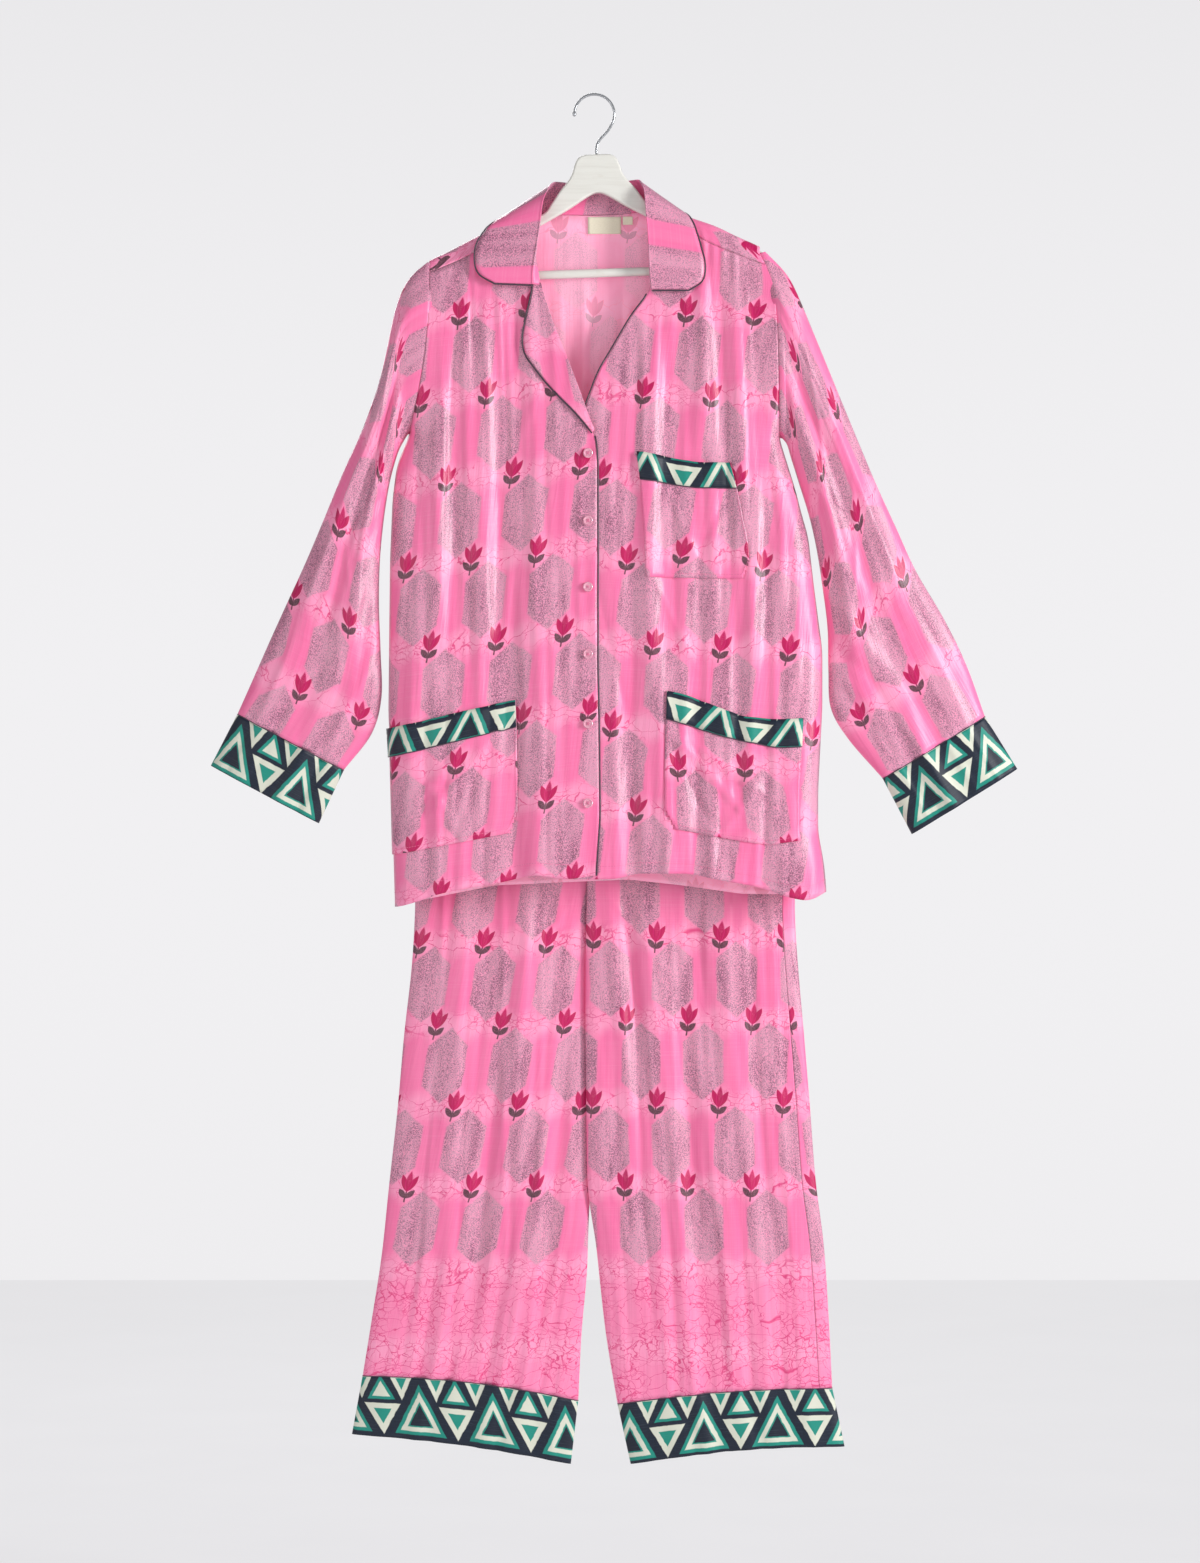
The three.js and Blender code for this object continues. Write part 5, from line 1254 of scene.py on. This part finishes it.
# Collar: up from the neckline, over its roll and down to its free edge
collar_rows = []
for neck, roll, edge in np.array(COLLAR, float):
    outward = (edge - roll) / np.linalg.norm(edge - roll)
    up = (roll - neck) / np.linalg.norm(roll - neck)
    over = roll + outward * COLLAR_ROLL
    crown = (roll + over) / 2 + up * COLLAR_ROLL / 3
    collar_rows.append([neck, mix(neck, roll, 0.55), roll, crown, over, mix(over, edge, 0.45), edge])
collar = curve(collar_rows, COLLAR_GRID[0])
collar = curve(collar.transpose(1, 0, 2), COLLAR_GRID[1]).transpose(1, 0, 2)
along = flat_cloth(collar)
collar_across = along[..., 1] * COLLAR_PRINT_ALONG + COLLAR_PRINT_FROM
places = np.stack([collar_across, along[..., 0] * COLLAR_PRINT_FLAT], -1)
cloth("collar", collar, places, COLLAR_PRINT, ["collar"])

# The lapel, from its roll to its piped edge
lapel_table = curve(LAPEL, LAPEL_GRID[0])
shares = np.linspace(0, 1, LAPEL_GRID[1])
lapel_x = mix(lapel_table[:, [0]], lapel_table[:, [2]], shares)
lapel_z = mix(lapel_table[:, [1]], lapel_table[:, [3]], shares)
stand = mix(*LAPEL_STAND, np.minimum(1, 2 * shares))
lapel = lapping_points(lapel_x, lapel_z, stand)
cloth("lapel", lapel, printed_cloth(lapel, LAYOUTS["lapel"]), COLLAR_PRINT, ["lapel"])


# Piping along the free edges
def beyond(rows, edge, inside):
    """The edge of a grid, moved away from the points inside it and square to itself."""
    line = rows[:, edge]
    along = np.gradient(line, axis=0)
    along /= np.linalg.norm(along, axis=1, keepdims=True)
    away = line - rows[:, inside]
    away -= along * (away * along).sum(axis=1, keepdims=True)
    return line + PIPE_STEP * away / np.linalg.norm(away, axis=1, keepdims=True)


drop_pipe = np.array([0, 0, -PIPE_STEP])
collar_ends = [row[COLLAR_PIPE_FROM:] + drop_pipe for row in (collar[0], collar[-1])]
collar_path = [collar_ends[0], beyond(collar, -1, -2), collar_ends[1][::-1]]
guides = np.array(guide_values("left", 0, len(GUIDES_LEFT) - 1))
slope = np.array(guide_values("right", 0, len(GUIDES_RIGHT) - 1))
pipes = {
    "piping_collar": np.concatenate(collar_path),
    "piping_lapel": beyond(lapel, -1, -2),
    "piping_front": beyond(fronts["left"][guides >= 3], -1, -2),
    "piping_slope": beyond(fronts["right"][(slope >= 1) & (slope <= 2)], 0, 1),
}
for name, path in pipes.items():
    cord(name, path, PIPE_RADIUS, PIPING, [name])
stitches("stitching", seams, THREAD)
for name, rows in trimmed.items():
    line = np.concatenate([rows[0], rows[0, :1]]) if name in TUBE_TRIMS else rows[-1]
    cord(f"{name}_trim", line, TRIM_RADIUS, PIPING, [])


# Hanger: hook, plate and bar, turned with the hanger's tilt
def tilted(points):
    points = np.asarray(points, float)
    cosine, sine = math.cos(HANGER_TILT), math.sin(HANGER_TILT)
    x = points[..., 0] * cosine + points[..., 1] * sine
    z = points[..., 1] * cosine - points[..., 0] * sine
    return np.stack([x, np.zeros_like(x), z], -1)


turns = np.radians(np.linspace(184, -32, 60))
bend = np.stack([HOOK_RADIUS * np.cos(turns) - 1, HOOK_CENTRE_Z + HOOK_RADIUS * np.sin(turns)], -1)
hook_path = np.concatenate([bend, curve([bend[-1], *HOOK_TAIL], 30)[1:]])
hook_radius = np.full(len(hook_path), HOOK_WIRE)
hook_radius[:4] = (0.9, 2.2, HOOK_BALL, 2.0)
cord("hanger_hook", tilted(hook_path), hook_radius, CHROME, ["hanger_hook"], sides=20)
cord("hanger_bar", tilted([(x, BAR_Z) for x in np.linspace(-BAR_HALF, BAR_HALF, 40)]), BAR_RADIUS,
     WOOD, ["hanger_bar"], sides=24)

half = np.array(HANGER_HALF, float)
outline = np.concatenate([[(-13, PLATE_TOP), (13, PLATE_TOP)], half, [(0, -117)], half[::-1] * (-1, 1)])
plate = bpy.data.curves.new("hanger_body", "CURVE")
plate.dimensions = "2D"
plate.fill_mode = "BOTH"
plate.extrude = (HANGER_THICK / 2 - HANGER_BEVEL) * MM
plate.bevel_depth = HANGER_BEVEL * MM
plate.bevel_resolution = 3
plate.offset = -HANGER_BEVEL * MM
spline = plate.splines.new("POLY")
spline.use_cyclic_u = True
rounded = curve(np.concatenate([outline, outline[:1]]), 4 * len(outline) + 1)[:-1]
level = tilted(rounded)
spline.points.add(len(rounded) - 1)
for point, (x, _, z) in zip(spline.points, level):
    point.co = (x * MM, z * MM, 0, 1)
body = bpy.data.objects.new("hanger_body_wood", plate)
body.rotation_euler = (math.pi / 2, 0, 0)
finish_piece(body, WOOD, ["hanger_body"])

# Labels inside the back neck
for name, (left, right, top, foot) in LABELS.items():
    x, z = np.meshgrid(np.linspace(left, right, 14), np.linspace(top, foot, 10))
    rows = back_points(x, z, -LABEL_OFF)
    cloth(name, rows, flat_cloth(rows), WOVEN, [name], thickness=LABEL_THICK)


# Buttons: a dished disc with four holes and crossed threads, in place of each plain disc
def turned(profile, sides, centre=(0, 0)):
    """Vertices and faces of a solid turned about the y axis, from a profile of (radius, y)."""
    angle = np.arange(sides) * 2 * math.pi / sides
    rings = []
    for radius, y in profile:
        x, z = centre[0] + radius * np.cos(angle), centre[1] + radius * np.sin(angle)
        rings.append(np.stack([x, np.full(sides, y), z], -1))
    return np.concatenate(rings), ring_faces(len(profile), sides)


def loose_object(name, parts):
    points, faces = [], []
    for more, sides in parts:
        faces += [[len(points) + k for k in side] for side in sides]
        points += more.tolist()
    made = bpy.data.objects.new(name, mesh_of(name, points, faces))
    bpy.context.scene.collection.objects.link(made)
    return made


def drilled_button():
    blank = loose_object("button_blank", [turned(BUTTON_PROFILE, BUTTON_SIDES)])
    hole = [(BUTTON_HOLE, -3), (BUTTON_HOLE, 3)]
    places = [(a * BUTTON_SPREAD, b * BUTTON_SPREAD) for a in (-1, 1) for b in (-1, 1)]
    drills = [turned(hole, HOLE_SIDES, place) for place in places]
    drill = loose_object("button_drill", drills)
    cut = blank.modifiers.new("holes", "BOOLEAN")
    cut.operation = "DIFFERENCE"
    cut.object = drill
    mesh = bpy.data.meshes.new_from_object(blank.evaluated_get(bpy.context.evaluated_depsgraph_get()))
    for made in (blank, drill):
        bpy.data.objects.remove(made)
    return mesh


BUTTON_PROFILE = [
    (2.9, -0.3), (3.5, -0.45), (4.2, -0.95), (4.7, -1.15), (5.2, -1.15), (5.7, -0.85), (5.95, -0.2),
    (5.9, 0.5), (5.4, 1.05), (4.6, 1.2), (2.9, 1.2),
]
BUTTON_SIDES = 48
BUTTON_HOLE = 0.8
BUTTON_SPREAD = 1.7
BUTTON_THREAD = 0.35
HOLE_SIDES = 16
# A thread's way through two holes: its share of the way from the middle, and y
THREAD_PATH = [(-1, 0.8), (-1, -0.4), (-0.6, -0.8), (0, -0.95), (0.6, -0.8), (1, -0.4), (1, 0.8)]
THREAD_CROSSING = 0.3
button_mesh = drilled_button()
button_mesh.materials.clear()
for n in range(1, 7):
    node = f"button_{n}"
    middle = np.mean(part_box(node), axis=0) / MM
    mesh = button_mesh.copy()
    mesh.transform(Matrix.Translation(middle * MM))
    finish_piece(bpy.data.objects.new(f"{node}_disc", mesh), PLASTIC, [node])
    for k, turn in enumerate(np.radians((45, 135))):
        reach = BUTTON_SPREAD * math.sqrt(2) * np.array([math.cos(turn), math.sin(turn)])
        path = [middle + (share * reach[0], y, share * reach[1]) for share, y in THREAD_PATH]
        path[len(path) // 2][1] += THREAD_CROSSING * k
        cord(f"{node}_thread_{k + 1}", path, BUTTON_THREAD, THREAD, [], sides=8)

# Camera, lights and floor
CAMERA = {"x": 6.6, "away": 5000, "z": -823, "tall": 1875.6, "sensor": 36}
camera_data = bpy.data.cameras.new("camera")
camera_data.sensor_width = CAMERA["sensor"]
camera_data.lens = CAMERA["sensor"] * CAMERA["away"] / CAMERA["tall"]
camera = bpy.data.objects.new("camera", camera_data)
camera.location = (CAMERA["x"] * MM, -CAMERA["away"] * MM, CAMERA["z"] * MM)
camera.rotation_euler = (math.pi / 2, 0, 0)
bpy.context.scene.collection.objects.link(camera)
bpy.context.scene.camera = camera

AIR_LIGHT = 0.34
BACKDROP = linear(241, 240, 242)
BACKDROP_FALL = 1.9
world = bpy.data.worlds.new("studio")
world.use_nodes = True
nodes, links = world.node_tree.nodes, world.node_tree.links
backdrop = nodes["Background"]
backdrop.inputs["Color"].default_value = BACKDROP
ways = nodes.new("ShaderNodeTexCoord")
split = nodes.new("ShaderNodeSeparateXYZ")
links.new(ways.outputs["Generated"], split.inputs[0])
height = Field(world.node_tree, split.outputs[2])
links.new((height * height * -BACKDROP_FALL + 1).socket, backdrop.inputs["Strength"])
air = nodes.new("ShaderNodeBackground")
air.inputs["Color"].default_value = (0.98, 0.98, 1.0, 1)
air.inputs["Strength"].default_value = AIR_LIGHT
seen = nodes.new("ShaderNodeLightPath")
either = nodes.new("ShaderNodeMixShader")
links.new(seen.outputs["Is Camera Ray"], either.inputs[0])
links.new(air.outputs[0], either.inputs[1])
links.new(backdrop.outputs[0], either.inputs[2])
links.new(either.outputs[0], nodes["World Output"].inputs["Surface"])
bpy.context.scene.world = world
bpy.context.scene.view_settings.view_transform = "Standard"

# Lights: place, width and height in metres, and power
LIGHTS = [
    ("key", (3.0, -1.7, -0.1), (0.8, 1.6), 108),
    ("strip_right", (0.95, -3.2, -0.8), (0.14, 2.8), 7.5),
    ("strip_left", (-1.3, -3.1, -0.8), (0.14, 2.8), 7.5),
    ("fill", (-2.6, -2.2, -0.4), (1.6, 1.6), 17),
    ("rim", (-0.6, 2.4, 0.8), (1.6, 1.6), 40),
]
AIM = np.array([0, 0, -0.8])
for name, place, (wide, tall), power in LIGHTS:
    light = bpy.data.lights.new(name, "AREA")
    light.shape = "RECTANGLE"
    light.size = wide
    light.size_y = tall
    light.energy = power
    lamp = bpy.data.objects.new(name, light)
    lamp.location = place
    direction = Vector(AIM - np.array(place))
    lamp.rotation_euler = direction.to_track_quat("-Z", "Y").to_euler()
    bpy.context.scene.collection.objects.link(lamp)

FLOOR_Z = -1.9
FLOOR_HALF = 4.0
# The floor glows more where it meets the backdrop, from near to far in millimetres
FLOOR_NEAR = 700
FLOOR_FAR = 4000
FLOOR_GLOW = (0.72, 0.80)
floor_mesh = bpy.data.meshes.new("floor")
corners = [(-1, -1), (1, -1), (1, 1), (-1, 1)]
floor_mesh.from_pydata([(a * FLOOR_HALF, b * FLOOR_HALF, FLOOR_Z) for a, b in corners], [], [(0, 1, 2, 3)])
floor_surface = Surface("pale_floor", Roughness=0.9, Emission_Color=BACKDROP)
x, y, z = floor_surface.solid_places()
far = (y - FLOOR_NEAR).math("DIVIDE", FLOOR_FAR - FLOOR_NEAR, clamp=True)
glow = far * (FLOOR_GLOW[1] - FLOOR_GLOW[0]) + FLOOR_GLOW[0]
floor_surface.tree.links.new(glow.socket, floor_surface.shader.inputs["Emission Strength"])
mottle = floor_surface.noise(x * 0.004, y * 0.004, detail=3)
paint = floor_surface.layer(linear(112, 112, 114), linear(100, 100, 103), mottle)
floor_mesh.materials.append(floor_surface.finish(paint, mottle * 0.1))
floor = bpy.data.objects.new("floor", floor_mesh)
bpy.context.scene.collection.objects.link(floor)
